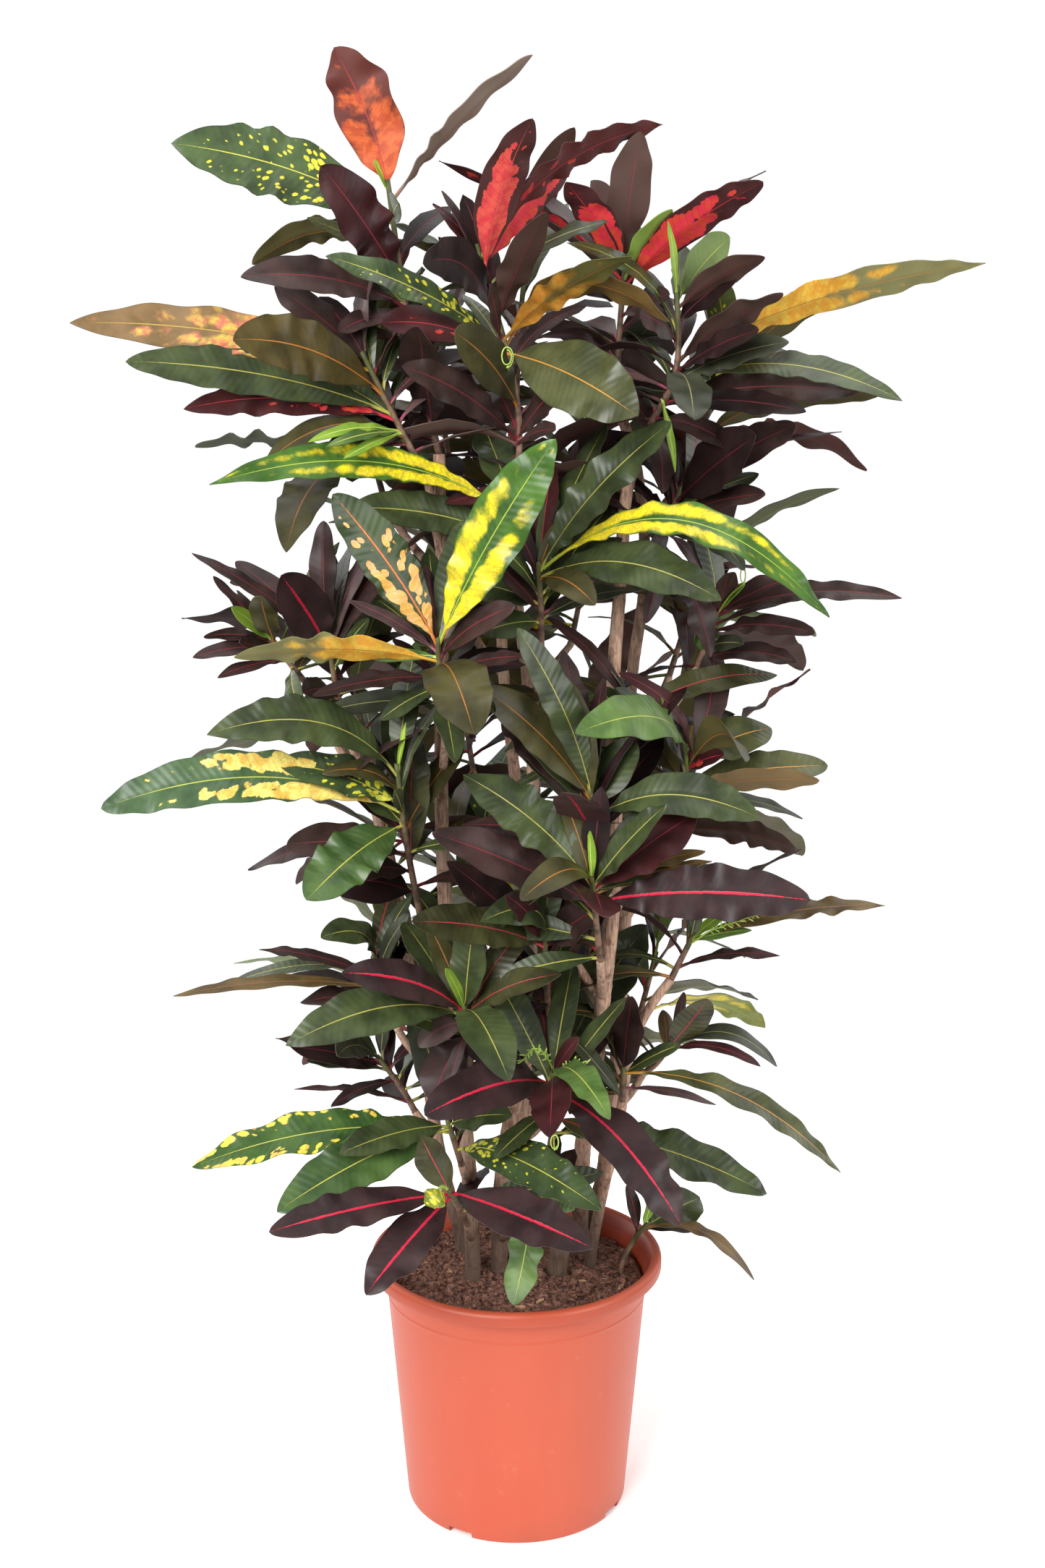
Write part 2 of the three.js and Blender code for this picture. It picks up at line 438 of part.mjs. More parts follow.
function potProfile() {
  const wallRadius = (z) => BASE_RADIUS + (WALL_TOP_RADIUS - BASE_RADIUS) * (z / WALL_TOP_HEIGHT);
  const channelIn = CHANNEL_RADIUS - CHANNEL_HALF_WIDTH;
  const channelOut = CHANNEL_RADIUS + CHANNEL_HALF_WIDTH;
  const stepHeight = 204;
  const lipHeight = POT_HEIGHT - WALL_TOP_HEIGHT;
  return [
    [0, 0], [channelIn - 2, 0], [channelIn, CHANNEL_HEIGHT], [channelOut, CHANNEL_HEIGHT],
    [channelOut + 2, 0], [BASE_RADIUS - 3, 0], [BASE_RADIUS, 3],
    [wallRadius(stepHeight) - 0.6, stepHeight], [wallRadius(stepHeight) + 0.6, stepHeight + 2],
    [WALL_TOP_RADIUS, WALL_TOP_HEIGHT], [RIM_RADIUS - 1, WALL_TOP_HEIGHT + 1],
    [RIM_RADIUS, WALL_TOP_HEIGHT + 3], [RIM_RADIUS, POT_HEIGHT - 2.5], [RIM_RADIUS - 3, POT_HEIGHT],
    [WALL_TOP_RADIUS + 2.4, WALL_TOP_HEIGHT + lipHeight * 0.5],
    [WALL_TOP_RADIUS - WALL_THICKNESS, WALL_TOP_HEIGHT - 4],
    [BASE_RADIUS - WALL_THICKNESS - 0.5, FLOOR_THICKNESS + 2],
    [channelOut + 3, FLOOR_THICKNESS], [channelOut + 1, CHANNEL_HEIGHT + FLOOR_THICKNESS],
    [channelIn - 1, CHANNEL_HEIGHT + FLOOR_THICKNESS], [channelIn - 3, FLOOR_THICKNESS],
    [0, FLOOR_THICKNESS],
  ];
}

function makePot() {
  let pot = turnedSolid(potProfile(), POT_SIDES);
  for (let hole = 0; hole < DRAIN_HOLES; hole += 1) {
    const turn = (hole / DRAIN_HOLES) * 2 * Math.PI;
    const drill = new THREE.CylinderGeometry(DRAIN_RADIUS, DRAIN_RADIUS, 12, 8).rotateX(Math.PI / 2);
    drill.translate(CHANNEL_RADIUS * Math.cos(turn), CHANNEL_RADIUS * Math.sin(turn), CHANNEL_HEIGHT + 1);
    pot = pot.subtract(solidFrom(drill));
  }
  for (let notch = 0; notch < FOOT_NOTCHES; notch += 1) {
    const turn = radians(NOTCH_TURN + (notch / FOOT_NOTCHES) * 360);
    const { roof, cutter } = makeNotch();
    pot = pot.add(solidFrom(roof.rotateZ(turn))).subtract(solidFrom(cutter.rotateZ(turn)));
  }
  return pot;
}

// A notch lets water out of the channel, and its roof keeps the pot's floor whole above it.
function makeNotch() {
  const channelOut = CHANNEL_RADIUS + CHANNEL_HALF_WIDTH;
  const wallInside = BASE_RADIUS - WALL_THICKNESS;
  const roofTop = NOTCH_HEIGHT + FLOOR_THICKNESS;
  const roof = new THREE.BoxGeometry(wallInside - channelOut + 1, NOTCH_WIDTH + 4, roofTop - 1);
  roof.translate((wallInside + channelOut - 1) / 2, 0, (roofTop + 1) / 2);
  const reach = BASE_RADIUS - CHANNEL_RADIUS + 4;
  const cutter = new THREE.BoxGeometry(reach, NOTCH_WIDTH, NOTCH_HEIGHT + 4);
  cutter.translate(CHANNEL_RADIUS + reach / 2, 0, (NOTCH_HEIGHT - 4) / 2);
  return { roof, cutter };
}

function makeSoil(plugs) {
  const floor = FLOOR_THICKNESS + GAP;
  const ledge = CHANNEL_HEIGHT + floor;
  const ledgeRadius = CHANNEL_RADIUS - CHANNEL_HALF_WIDTH - 3.6;
  const wallGap = WALL_THICKNESS + 1.6;
  const bottomRadius = BASE_RADIUS - wallGap - 0.5;
  const topRadius = WALL_TOP_RADIUS - wallGap - 0.8;
  let soil = turnedSolid([
    [0, floor], [ledgeRadius, floor], [ledgeRadius, ledge], [bottomRadius, ledge],
    [topRadius, SOIL_EDGE_HEIGHT - 2], [topRadius - 3, SOIL_EDGE_HEIGHT],
    [topRadius * 0.55, SOIL_MOUND_HEIGHT - 3], [0, SOIL_MOUND_HEIGHT],
  ], SOIL_SIDES);
  for (const plug of plugs) {
    soil = soil.subtract(plug);
  }
  return soil;
}

// ---------------------------------------------------------------- trunks and branches

function buried(x, y) {
  return new THREE.Vector3(x, y, SOIL_EDGE_HEIGHT - ROOT_DEPTH);
}

function trunkPoints({ foot: [x, y], path }) {
  return [buried(x, y), new THREE.Vector3(x, y, SOIL_MOUND_HEIGHT + 6), ...path.map(seen)];
}

function holeFor(x, y, radius, sides) {
  const bottom = buried(x, y);
  bottom.z -= GAP;
  const top = new THREE.Vector3(x, y, SOIL_MOUND_HEIGHT + 20);
  return bar([bottom, top], [radius + GAP, radius + GAP], sides);
}

// The point of a trunk's path at a height.
function trunkAt(trunk, height) {
  const points = trunkPoints(trunk);
  const index = points.findIndex((point) => point.z > height);
  const [low, high] = [points[index - 1], points[index]];
  return low.clone().lerp(high, (height - low.z) / (high.z - low.z));
}

function stemPoints(shoot) {
  return shoot.leaves ? shoot.stem.map(seen) : shoot.stem.map(vector);
}

function makeBranch(trunk, shoot) {
  const [root, next] = stemPoints(shoot);
  const start = direction(root, next);
  const fork = trunkAt(trunk, shoot.fork);
  const end = root.clone().addScaledVector(start, -GAP);
  const bend = fork.clone().lerp(end, 0.6);
  bend.z -= fork.distanceTo(end) * 0.06;
  const radii = [BRANCH_RADIUS, BRANCH_RADIUS * 0.95, STEM_RADIUS + 0.4];
  return bar([fork, bend, end], radii, BRANCH_SIDES, { endTangent: start });
}

function makeTrunk(trunk, index) {
  const points = trunkPoints(trunk);
  const carried = [...FRONT_SHOOTS, ...BACK_SHOOTS].filter((shoot) => shoot.trunk === index + 1);
  const leader = carried.find((shoot) => !shoot.fork);
  const [root, next] = stemPoints(leader);
  const endTangent = direction(root, next);
  points[points.length - 1] = root.clone().addScaledVector(endTangent, -GAP);
  const [thick, thin] = trunk.radii;
  const taper = (i) => Math.max(i - 1, 0) / (points.length - 2);
  const radii = points.map((_, i) => THREE.MathUtils.lerp(thick, thin, taper(i)));
  const startTangent = new THREE.Vector3(0, 0, 1);
  let solid = bar(points, radii, TRUNK_SIDES, { startTangent, endTangent });
  for (const shoot of carried.filter((each) => each.fork)) {
    solid = solid.add(makeBranch(trunk, shoot));
  }
  if (PRUNED_STUB.trunk === index + 1) {
    const { fork, end, radius } = PRUNED_STUB;
    solid = solid.add(bar([trunkAt(trunk, fork), seen(end)], [radius, radius * 0.9], BRANCH_SIDES));
  }
  return solid;
}

function makeStump() {
  const { foot: [x, y], height, radius, lean } = STUMP;
  const mouth = new THREE.Vector3(x, y, SOIL_MOUND_HEIGHT);
  const top = mouth.clone().add(new THREE.Vector3(lean[0], lean[1], height - 4));
  return bar([buried(x, y), mouth, top], [radius, radius, radius * 0.94], TRUNK_SIDES);
}

// ---------------------------------------------------------------- leaves

// How wide a blade is along its length, as a share of its widest width, from petiole to tip.
const LONG_OUTLINE = [[0.24, 0.62], [0.45, 0.97], [0.67, 0.96], [0.87, 0.55]];
const MIDDLE_OUTLINE = [[0.2, 0.66], [0.5, 1], [0.8, 0.72]];
const SHORT_OUTLINE = [[0.34, 0.95], [0.72, 0.82]];
const LONG_LEAF = 205;
const SHORT_LEAF = 110;

// The curve, the frame and the outline of one leaf, from where it grows to its tip.
function leafFrame({ base, tip, axis, bow, face, roll }) {
  const chord = tip.clone().sub(base);
  const length = chord.length();
  const along0 = chord.clone().normalize();
  const upper = axis.clone().addScaledVector(along0, -axis.dot(along0));
  if (upper.length() < 0.05) {
    upper.set(0, -1, 0).addScaledVector(along0, along0.y);
  }
  upper.normalize();
  const middle = base.clone().addScaledVector(chord, 0.44).addScaledVector(upper, 2 * bow * length);
  const curve = new THREE.QuadraticBezierCurve3(base, middle, tip);
  const frameAt = (share, turn) => {
    const tangent = curve.getTangent(share);
    const normal = upper.clone().addScaledVector(tangent, -upper.dot(tangent)).normalize();
    const side = tangent.clone().cross(normal);
    const up = normal.clone().multiplyScalar(Math.cos(turn)).addScaledVector(side, Math.sin(turn));
    return { centre: curve.getPoint(share), tangent, up, side: tangent.clone().cross(up) };
  };
  return { length, frameAt, turn: roll ?? turnToFace(frameAt(0.5, 0), face) };
}

// The turn about the midrib that shows the given share of the blade to the eye.
function turnToFace({ centre, tangent, up, side }, face) {
  const sight = direction(centre, EYE);
  sight.addScaledVector(tangent, -sight.dot(tangent)).normalize();
  const rest = tangent.clone().cross(sight);
  rest.multiplyScalar(Math.sign(rest.dot(up)) || 1);
  const wanted = sight.multiplyScalar(face).addScaledVector(rest, Math.sqrt(1 - face * face));
  return Math.atan2(wanted.dot(side), wanted.dot(up));
}

function leafSolid(leaf, grow, bladeOnly) {
  const { length, frameAt, turn } = leafFrame(leaf);
  const shorter = length < SHORT_LEAF ? SHORT_OUTLINE : MIDDLE_OUTLINE;
  const outline = length > LONG_LEAF ? LONG_OUTLINE : shorter;
  const lens = (share, width, thickness, wave) => {
    const { centre, up, side } = frameAt(share, turn);
    const reach = width / 2 + grow;
    const half = thickness / 2 + grow;
    return [
      centre.clone().addScaledVector(side, -reach).addScaledVector(up, wave),
      centre.clone().addScaledVector(up, half),
      centre.clone().addScaledVector(side, reach).addScaledVector(up, -wave),
      centre.clone().addScaledVector(up, -half),
    ];
  };
  const rings = outline.map(([share, wide], i) => {
    const place = PETIOLE_SHARE + (1 - PETIOLE_SHARE) * share;
    const wave = leaf.width * WAVE_SHARE * (i % 2 ? -1 : 1);
    return lens(place, leaf.width * wide, LEAF_THICKNESS, wave);
  });
  if (length > LONG_LEAF) {
    rings.unshift(lens(PETIOLE_SHARE, PETIOLE_WIDTH, PETIOLE_THICKNESS, 0));
  } else if (bladeOnly) {
    const [first, wide] = outline[0];
    const reached = PETIOLE_SHARE / (PETIOLE_SHARE + (1 - PETIOLE_SHARE) * first);
    const width = THREE.MathUtils.lerp(PETIOLE_WIDTH, leaf.width * wide, reached);
    rings.unshift(lens(PETIOLE_SHARE, width, PETIOLE_THICKNESS, 0));
  }
  if (!bladeOnly) {
    rings.unshift(lens(0, PETIOLE_WIDTH * ROOT_TAPER, PETIOLE_THICKNESS * ROOT_TAPER, 0));
  }
  const { centre, tangent } = frameAt(1, turn);
  return solidFrom(loft(rings, centre.addScaledVector(tangent, grow)));
}

// The places tried in turn for a leaf until it is clear: a front leaf moves nearer or further, and
// then a little up or down, as its tip is seen; a leaf of the back turns about its stem.
const FRONT_STEPS = [0, 10, -10].flatMap((lift) =>
  [0, 12, -12, 24, -24, 38, -38, 54, -54, 72, -72].map((shift) => [lift, shift]));
const BACK_STEPS = [0, 14, -14, 28, -28].flatMap((rise) =>
  [0, 14, -14, 28, -28, 42, -42, 56, -56].map((swing) => [rise, swing]));

function frontLeaf(shoot, stem, [at, u, v, n, width, bow, face], [lift, shift]) {
  const base = along(stem, at);
  const axis = direction(stem[0], stem[stem.length - 1]);
  return { base, axis, tip: seen([u, v + lift, n + shift]), width, bow, face };
}

// A small generator of even draws, the same on every run.
function drawsFrom(seed) {
  let state = seed;
  return () => {
    state = (Math.imul(state, 1664525) + 1013904223) >>> 0;
    return state / 2 ** 32;
  };
}

function backRow(shoot, number) {
  const draw = drawsFrom(number * 7919 + 17);
  return Array.from({ length: shoot.count }, (_, k) => {
    const share = k / (shoot.count - 1);
    const spread = ((k * GOLDEN_TURN) % 360) / 360 - 0.5;
    return {
      at: 0.97 - 0.72 * share,
      swing: spread * 250 + (draw() - 0.5) * 20,
      rise: 62 - 74 * share + (draw() - 0.5) * 16,
      length: 150 + 70 * draw() - 30 * (1 - share),
      slender: 0.2 + 0.07 * draw(),
      bow: 0.05 + 0.12 * draw(),
      roll: radians((draw() - 0.5) * 60),
    };
  });
}

function backLeaf(shoot, stem, row, [rise, swing]) {
  const base = along(stem, row.at);
  const axis = direction(stem[0], stem[stem.length - 1]);
  const outward = Math.atan2(stem[0].y, stem[0].x);
  const round = outward + radians(row.swing + swing);
  const climb = radians(row.rise + rise);
  const reach = new THREE.Vector3(
    Math.cos(climb) * Math.cos(round), Math.cos(climb) * Math.sin(round), Math.sin(climb));
  const tip = base.clone().addScaledVector(reach, row.length);
  return { base, axis, tip, width: row.length * row.slender, bow: row.bow, roll: row.roll };
}

// ---------------------------------------------------------------- shoots, each leaf set clear

function boxesMeet(one, other) {
  return [0, 1, 2].every((k) => one.min[k] <= other.max[k] && other.min[k] <= one.max[k]);
}

function crosses(probe, solids) {
  const box = probe.boundingBox();
  return solids.some(({ solid, box: otherBox }) => {
    if (!boxesMeet(box, otherBox)) {
      return false;
    }
    const shared = probe.intersect(solid);
    const met = !shared.isEmpty();
    shared.delete();
    return met;
  });
}

function placed(solid, owner) {
  return { solid, owner, box: solid.boundingBox() };
}

function makeStem(shoot) {
  const points = stemPoints(shoot);
  if (shoot.foot) {
    const [x, y] = shoot.foot;
    points.unshift(buried(x, y), new THREE.Vector3(x, y, SOIL_MOUND_HEIGHT));
  }
  const top = points[points.length - 1];
  const apex = top.clone().addScaledVector(direction(points[points.length - 2], top), 7);
  const radii = points.map((_, i) => (i === points.length - 1 ? STEM_RADIUS * 0.85 : STEM_RADIUS));
  const [root, next] = points;
  return bar(points, radii, STEM_SIDES, { startTangent: direction(root, next), apex });
}

const trunkSolids = TRUNKS.map(makeTrunk);
const shoots = [
  ...FRONT_SHOOTS.map((shoot) => (
    { ...shoot, rows: shoot.leaves, steps: FRONT_STEPS, leaf: frontLeaf })),
  ...BACK_SHOOTS.map((shoot, i) => (
    { ...shoot, rows: backRow(shoot, i), steps: BACK_STEPS, leaf: backLeaf })),
];
const plugs = [
  ...TRUNKS.map(({ foot: [x, y], radii }) => holeFor(x, y, radii[0], TRUNK_SIDES)),
  holeFor(...STUMP.foot, STUMP.radius, TRUNK_SIDES),
  ...shoots.filter(({ foot }) => foot).map(({ foot: [x, y] }) => holeFor(x, y, STEM_RADIUS, STEM_SIDES)),
];
const potSolid = makePot();
const soilSolid = makeSoil(plugs);
const stumpSolid = makeStump();
const stemSolids = shoots.map(makeStem);

const taken = [
  placed(potSolid, "pot"), placed(soilSolid, "soil"), placed(stumpSolid, "stump"),
  ...trunkSolids.map((solid, i) => placed(solid, `trunk_${i + 1}`)),
  ...stemSolids.map((solid, i) => placed(solid, shoots[i].name)),
];

function isClear(leaf, shoot) {
  const whole = leafSolid(leaf, CLEARANCE, false);
  const blade = leafSolid(leaf, CLEARANCE, true);
  const others = taken.filter(({ owner }) => owner !== shoot.name);
  const own = taken.filter(({ owner }) => owner === shoot.name);
  const clear = !crosses(whole, others) && !crosses(blade, own);
  whole.delete();
  blade.delete();
  return clear;
}

// True when a solid has a single skin, with no pocket sealed between its petioles.
function hasOneSkin(solid) {
  const { numVert, triVerts } = solid.getMesh();
  const parent = Array.from({ length: numVert }, (_, i) => i);
  const rootOf = (i) => {
    while (parent[i] !== i) {
      parent[i] = parent[parent[i]];
      i = parent[i];
    }
    return i;
  };
  triVerts.forEach((corner, i) => {
    parent[rootOf(corner)] = rootOf(triVerts[i - (i % 3)]);
  });
  return parent.every((_, i) => rootOf(i) === rootOf(0));
}

function growLeaves(shoot, stemSolid) {
  const stem = stemPoints(shoot);
  let solid = stemSolid;
  let count = 0;
  for (const row of shoot.rows) {
    for (const step of shoot.steps) {
      const leaf = shoot.leaf(shoot, stem, row, step);
      if (!isClear(leaf, shoot)) {
        continue;
      }
      const grown = leafSolid(leaf, 0, false);
      const joined = solid.add(grown);
      if (hasOneSkin(joined)) {
        taken.push(placed(grown, shoot.name));
        solid = joined;
        count += 1;
        break;
      }
    }
  }
  return { solid, count };
}

// ---------------------------------------------------------------- the plant

const croton = new THREE.Group();
croton.name = "potted_croton";
croton.add(meshFrom("pot", potSolid, COLOURS.pot, 0.5));
croton.add(meshFrom("soil", soilSolid, COLOURS.soil, 0.95));
croton.add(meshFrom("stump", stumpSolid, COLOURS.bark, 0.85));
trunkSolids.forEach((solid, i) => {
  croton.add(meshFrom(`trunk_${i + 1}`, solid, COLOURS.bark, 0.85));
});
shoots.forEach((shoot, i) => {
  const { solid, count } = growLeaves(shoot, stemSolids[i]);
  const mesh = meshFrom(shoot.name, solid, shoot.green ? COLOURS.green : COLOURS.plum, 0.35);
  mesh.userData.leaves = `${count} of ${shoot.rows.length}`;
  croton.add(mesh);
});

export default croton;
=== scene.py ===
# %% [markdown]
# # A potted croton
# A croton (Codiaeum) is a shrub sold as a house plant. This one has seven woody stems in a plastic
# nursery pot. Short leafy shoots stand on the stems, and every shoot carries long waved leaves in
# very different colours. The lesson builds it from the ground up: pot, peat, wood, leaves, light.
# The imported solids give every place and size. The pieces made here stand exactly where they stand.

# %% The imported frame
import json
import math

import bmesh
import bpy
from mathutils import Matrix, Vector, noise
from mathutils.kdtree import KDTree


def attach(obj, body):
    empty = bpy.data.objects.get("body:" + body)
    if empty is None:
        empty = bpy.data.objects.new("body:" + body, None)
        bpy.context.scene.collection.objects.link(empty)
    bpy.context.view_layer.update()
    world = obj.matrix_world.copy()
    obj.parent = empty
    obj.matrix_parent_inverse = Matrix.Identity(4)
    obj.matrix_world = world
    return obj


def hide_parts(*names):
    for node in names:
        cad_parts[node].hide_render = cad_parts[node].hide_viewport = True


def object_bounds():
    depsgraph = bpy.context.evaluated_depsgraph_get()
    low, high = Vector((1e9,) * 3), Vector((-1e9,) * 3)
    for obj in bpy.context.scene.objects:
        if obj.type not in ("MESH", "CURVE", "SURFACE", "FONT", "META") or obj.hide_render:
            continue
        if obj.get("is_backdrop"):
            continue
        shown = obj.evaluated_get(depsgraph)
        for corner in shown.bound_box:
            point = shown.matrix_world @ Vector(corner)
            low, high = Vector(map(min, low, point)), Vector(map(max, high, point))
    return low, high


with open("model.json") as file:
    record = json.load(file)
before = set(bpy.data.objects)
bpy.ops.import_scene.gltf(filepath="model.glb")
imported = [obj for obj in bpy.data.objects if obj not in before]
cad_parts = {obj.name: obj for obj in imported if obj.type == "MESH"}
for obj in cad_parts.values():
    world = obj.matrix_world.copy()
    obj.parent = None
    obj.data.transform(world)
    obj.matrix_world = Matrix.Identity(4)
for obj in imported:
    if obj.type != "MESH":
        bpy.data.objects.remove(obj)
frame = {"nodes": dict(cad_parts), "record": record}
cad_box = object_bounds()
MM = 0.001
print("frame:", len(frame["nodes"]), "nodes in", [[round(v, 3) for v in corner] for corner in cad_box])

# %% [markdown]
# ## Small tools
# A handful of helpers keep the later cells short. One turns a hex colour into the linear numbers
# that shaders use. One gives even draws from a seed, so that every run grows the same plant. One
# turns a finished bmesh into an object that rides on the frame and takes the place of a solid.

# %% Colours, seeded draws and finished pieces


def linear(code):
    """A hex colour as the linear red, green, blue and full alpha of a shader's socket."""
    parts = [int(code[i:i + 2], 16) / 255 for i in (1, 3, 5)]
    return tuple(p / 12.92 if p <= 0.04045 else ((p + 0.055) / 1.055) ** 2.4 for p in parts) + (1.0,)


def draws_from(seed):
    """A small generator of even draws from 0 to 1, the same on every run."""
    state = seed
    while True:
        state = (state * 1664525 + 1013904223) % 2 ** 32
        yield state / 2 ** 32


def object_from(name, bm, finishes=()):
    """An object in the scene from a bmesh, with its finishes. The bmesh is used up."""
    mesh = bpy.data.meshes.new(name)
    bm.to_mesh(mesh)
    bm.free()
    for finish in finishes:
        mesh.materials.append(finish)
    made = bpy.data.objects.new(name, mesh)
    bpy.context.scene.collection.objects.link(made)
    return made


def varied(draw, least_and_extent):
    """A seeded number from a least value up to that value plus its extent."""
    least, extent = least_and_extent
    return least + extent * next(draw)


def finished_piece(name, bm, finishes, slot, nodes=()):
    """An object from a bmesh in millimetres, riding on the frame in place of the named nodes."""
    bmesh.ops.scale(bm, vec=(MM, MM, MM), verts=bm.verts)
    piece = object_from(name, bm, finishes)
    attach(piece, "root")
    if nodes:
        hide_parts(*nodes)
    return piece


def dress(faces, slot, smooth=True):
    """Give faces their material slot and their shading."""
    for face in faces:
        face.material_index = slot
        face.smooth = smooth


def hard_edges(bm, degrees):
    """Keep the edges sharper than this angle crisp, and all others smooth."""
    for edge in bm.edges:
        edge.smooth = len(edge.link_faces) == 2 and edge.calc_face_angle() < math.radians(degrees)


def tiny_ball(bm, matrix, slot):
    """A flat-shaded icosphere of 20 faces, for a crumb or a bud. Its points are handed back."""
    verts = bmesh.ops.create_icosphere(bm, subdivisions=1, radius=1, matrix=matrix)["verts"]
    dress({face for vert in verts for face in vert.link_faces}, slot, smooth=False)
    return verts


def direction(turn, climb):
    """A unit vector from a turn about the upright axis and a climb, both in radians."""
    return Vector((math.cos(climb) * math.cos(turn), math.cos(climb) * math.sin(turn), math.sin(climb)))


def smooth_path(points, step):
    """Points on a smooth curve through the given ones, about step apart."""
    ends = [points[0] * 2 - points[1], *points, points[-1] * 2 - points[-2]]
    path = []
    for before, here, there, after in zip(ends, ends[1:], ends[2:], ends[3:]):
        pieces = max(1, round((there - here).length / step))
        for k in range(pieces):
            t = k / pieces
            path.append(0.5 * (2 * here + (there - before) * t
                               + (2 * before - 5 * here + 4 * there - after) * t ** 2
                               + (3 * here - before - 3 * there + after) * t ** 3))
    return path + [points[-1]]


def tapering(path, radius, start, fall):
    """Radii along a path, from start times a radius, that shrink evenly by fall times that radius."""
    return [radius * (start - fall * i / len(path)) for i in range(len(path))]


def bar(bm, path, radii, sides, slot=0, closed_start=False):
    """A round bar: one circle, carried along the path by extruding its edges and moving each copy."""
    across = Vector((1, 0, 0))
    places = []
    for i, (point, radius) in enumerate(zip(path, radii)):
        ahead = (path[min(i + 1, len(path) - 1)] - path[max(i - 1, 0)]).normalized()
        across = (across - ahead * across.dot(ahead)).normalized()
        up = ahead.cross(across)
        turn = Matrix((across * radius, up * radius, ahead * radius)).transposed().to_4x4()
        places.append(Matrix.Translation(point) @ turn)
    ring = bmesh.ops.create_circle(bm, segments=sides, radius=1, matrix=places[0])["verts"]
    edges = list({edge for vert in ring for edge in vert.link_edges})
    made = []
    if closed_start:
        made += bmesh.ops.contextual_create(bm, geom=edges)["faces"]
    for before, here in zip(places, places[1:]):
        grown = bmesh.ops.extrude_edge_only(bm, edges=edges)["geom"]
        ring = [part for part in grown if isinstance(part, bmesh.types.BMVert)]
        edges = [part for part in grown if isinstance(part, bmesh.types.BMEdge)]
        made += [part for part in grown if isinstance(part, bmesh.types.BMFace)]
        bmesh.ops.transform(bm, matrix=here @ before.inverted(), verts=ring)
    made += bmesh.ops.contextual_create(bm, geom=edges)["faces"]
    bmesh.ops.recalc_face_normals(bm, faces=made)
    dress(made, slot)


print("helpers ready; a mid grey is", [round(v, 3) for v in linear("#808080")[:3]])

# %% [markdown]
# A shader tree is easier to read when it is written like a formula. The class below adds nodes to
# one material, joins whatever sockets it is given, and puts plain numbers straight on the sockets.

# %% Shaders written as formulas


class Finish:
    """One material under construction: its node tree and short ways to add to it."""

    def __init__(self, name):
        self.material = bpy.data.materials.new(name)
        self.material.use_nodes = True
        self.tree = self.material.node_tree
        self.shader = self.tree.nodes["Principled BSDF"]

    def put(self, socket, value):
        """Join a socket to another one, or put a number, a vector or a hex colour on it."""
        if isinstance(value, bpy.types.NodeSocket):
            self.tree.links.new(value, socket)
        else:
            socket.default_value = linear(value) if isinstance(value, str) else value

    def node(self, kind, inputs=None, **settings):
        made = self.tree.nodes.new(kind)
        for key, value in settings.items():
            setattr(made, key, value)
        for key, value in (inputs or {}).items():
            self.put(made.inputs[key], value)
        return made

    def maths(self, operation, first, second=0.0):
        return self.node("ShaderNodeMath", {0: first, 1: second}, operation=operation).outputs[0]

    def times(self, first, second):
        return self.maths("MULTIPLY", first, second)

    def plus(self, first, second):
        return self.maths("ADD", first, second)

    def minus(self, first, second):
        return self.maths("SUBTRACT", first, second)

    def ramp(self, value, low, high):
        """0 below low and 1 above high, with a soft step between; low may be the larger."""
        inputs = {"Value": value, "From Min": low, "From Max": high}
        return self.node("ShaderNodeMapRange", inputs, interpolation_type="SMOOTHSTEP").outputs[0]

    def mix(self, share, first, second):
        made = self.node("ShaderNodeMix", data_type="RGBA")
        for key, value in ((0, share), (6, first), (7, second)):
            self.put(made.inputs[key], value)
        return made.outputs[2]

    def noise(self, vector, scale, detail=2.0, rough=0.5):
        inputs = {"Vector": vector, "Scale": scale, "Detail": detail, "Roughness": rough}
        return self.node("ShaderNodeTexNoise", inputs).outputs["Fac"]

    def vector(self, x, y, z):
        return self.node("ShaderNodeCombineXYZ", {0: x, 1: y, 2: z}).outputs[0]

    def parts(self, name):
        """The three numbers of a piece's own vector attribute."""
        source = self.node("ShaderNodeAttribute", attribute_name=name)
        return self.node("ShaderNodeSeparateXYZ", {0: source.outputs["Vector"]}).outputs[:3]

    def place(self):
        return self.node("ShaderNodeTexCoord").outputs["Object"]

    def height(self):
        return self.node("ShaderNodeSeparateXYZ", {0: self.place()}).outputs[2]

    def stretched(self, level, upright):
        """The place, scaled by one number across and by another one upright."""
        return self.node("ShaderNodeVectorMath", {0: self.place(), 1: (level, level, upright)},
                         operation="MULTIPLY").outputs[0]

    def bump(self, height, distance, strength=1.0):
        inputs = {"Height": height, "Distance": distance, "Strength": strength}
        self.put(self.shader.inputs["Normal"], self.node("ShaderNodeBump", inputs).outputs[0])

    def set(self, **values):
        for key, value in values.items():
            self.put(self.shader.inputs[key.replace("_", " ")], value)
        return self.material


print("shader helper ready")

# %% [markdown]
# ## The camera and the light
# The photo was taken from 1.8 m away with the lens at leaf height, tilted 11.9 degrees down to take
# in the pot. The lens is given as its focal length in pixels of the 1445 by 2168 photo. The light is
# a white studio: one large soft lamp above the left shoulder, a weaker one at the right, one overhead
# and two faint ones behind the plant. The surround lights the plant only weakly, so that dark glossy
# leaves stay dark, but it looks pure white to the camera. The paper floor thins out into that white,
# so no line shows where it ends.

# %% Camera, lamps and floor
PHOTO_HEIGHT = 2168
FOCAL_PIXELS = 2867
EYE = Vector((5.7, -1800, 1062))
TILT = 11.9

camera_data = bpy.data.cameras.new("camera")
camera_data.sensor_width = 36
camera_data.lens = camera_data.sensor_width * FOCAL_PIXELS / PHOTO_HEIGHT
camera = bpy.data.objects.new("camera", camera_data)
camera.location = EYE * MM
camera.rotation_euler = (math.radians(90 - TILT), 0, 0)
bpy.context.scene.collection.objects.link(camera)
bpy.context.scene.camera = camera

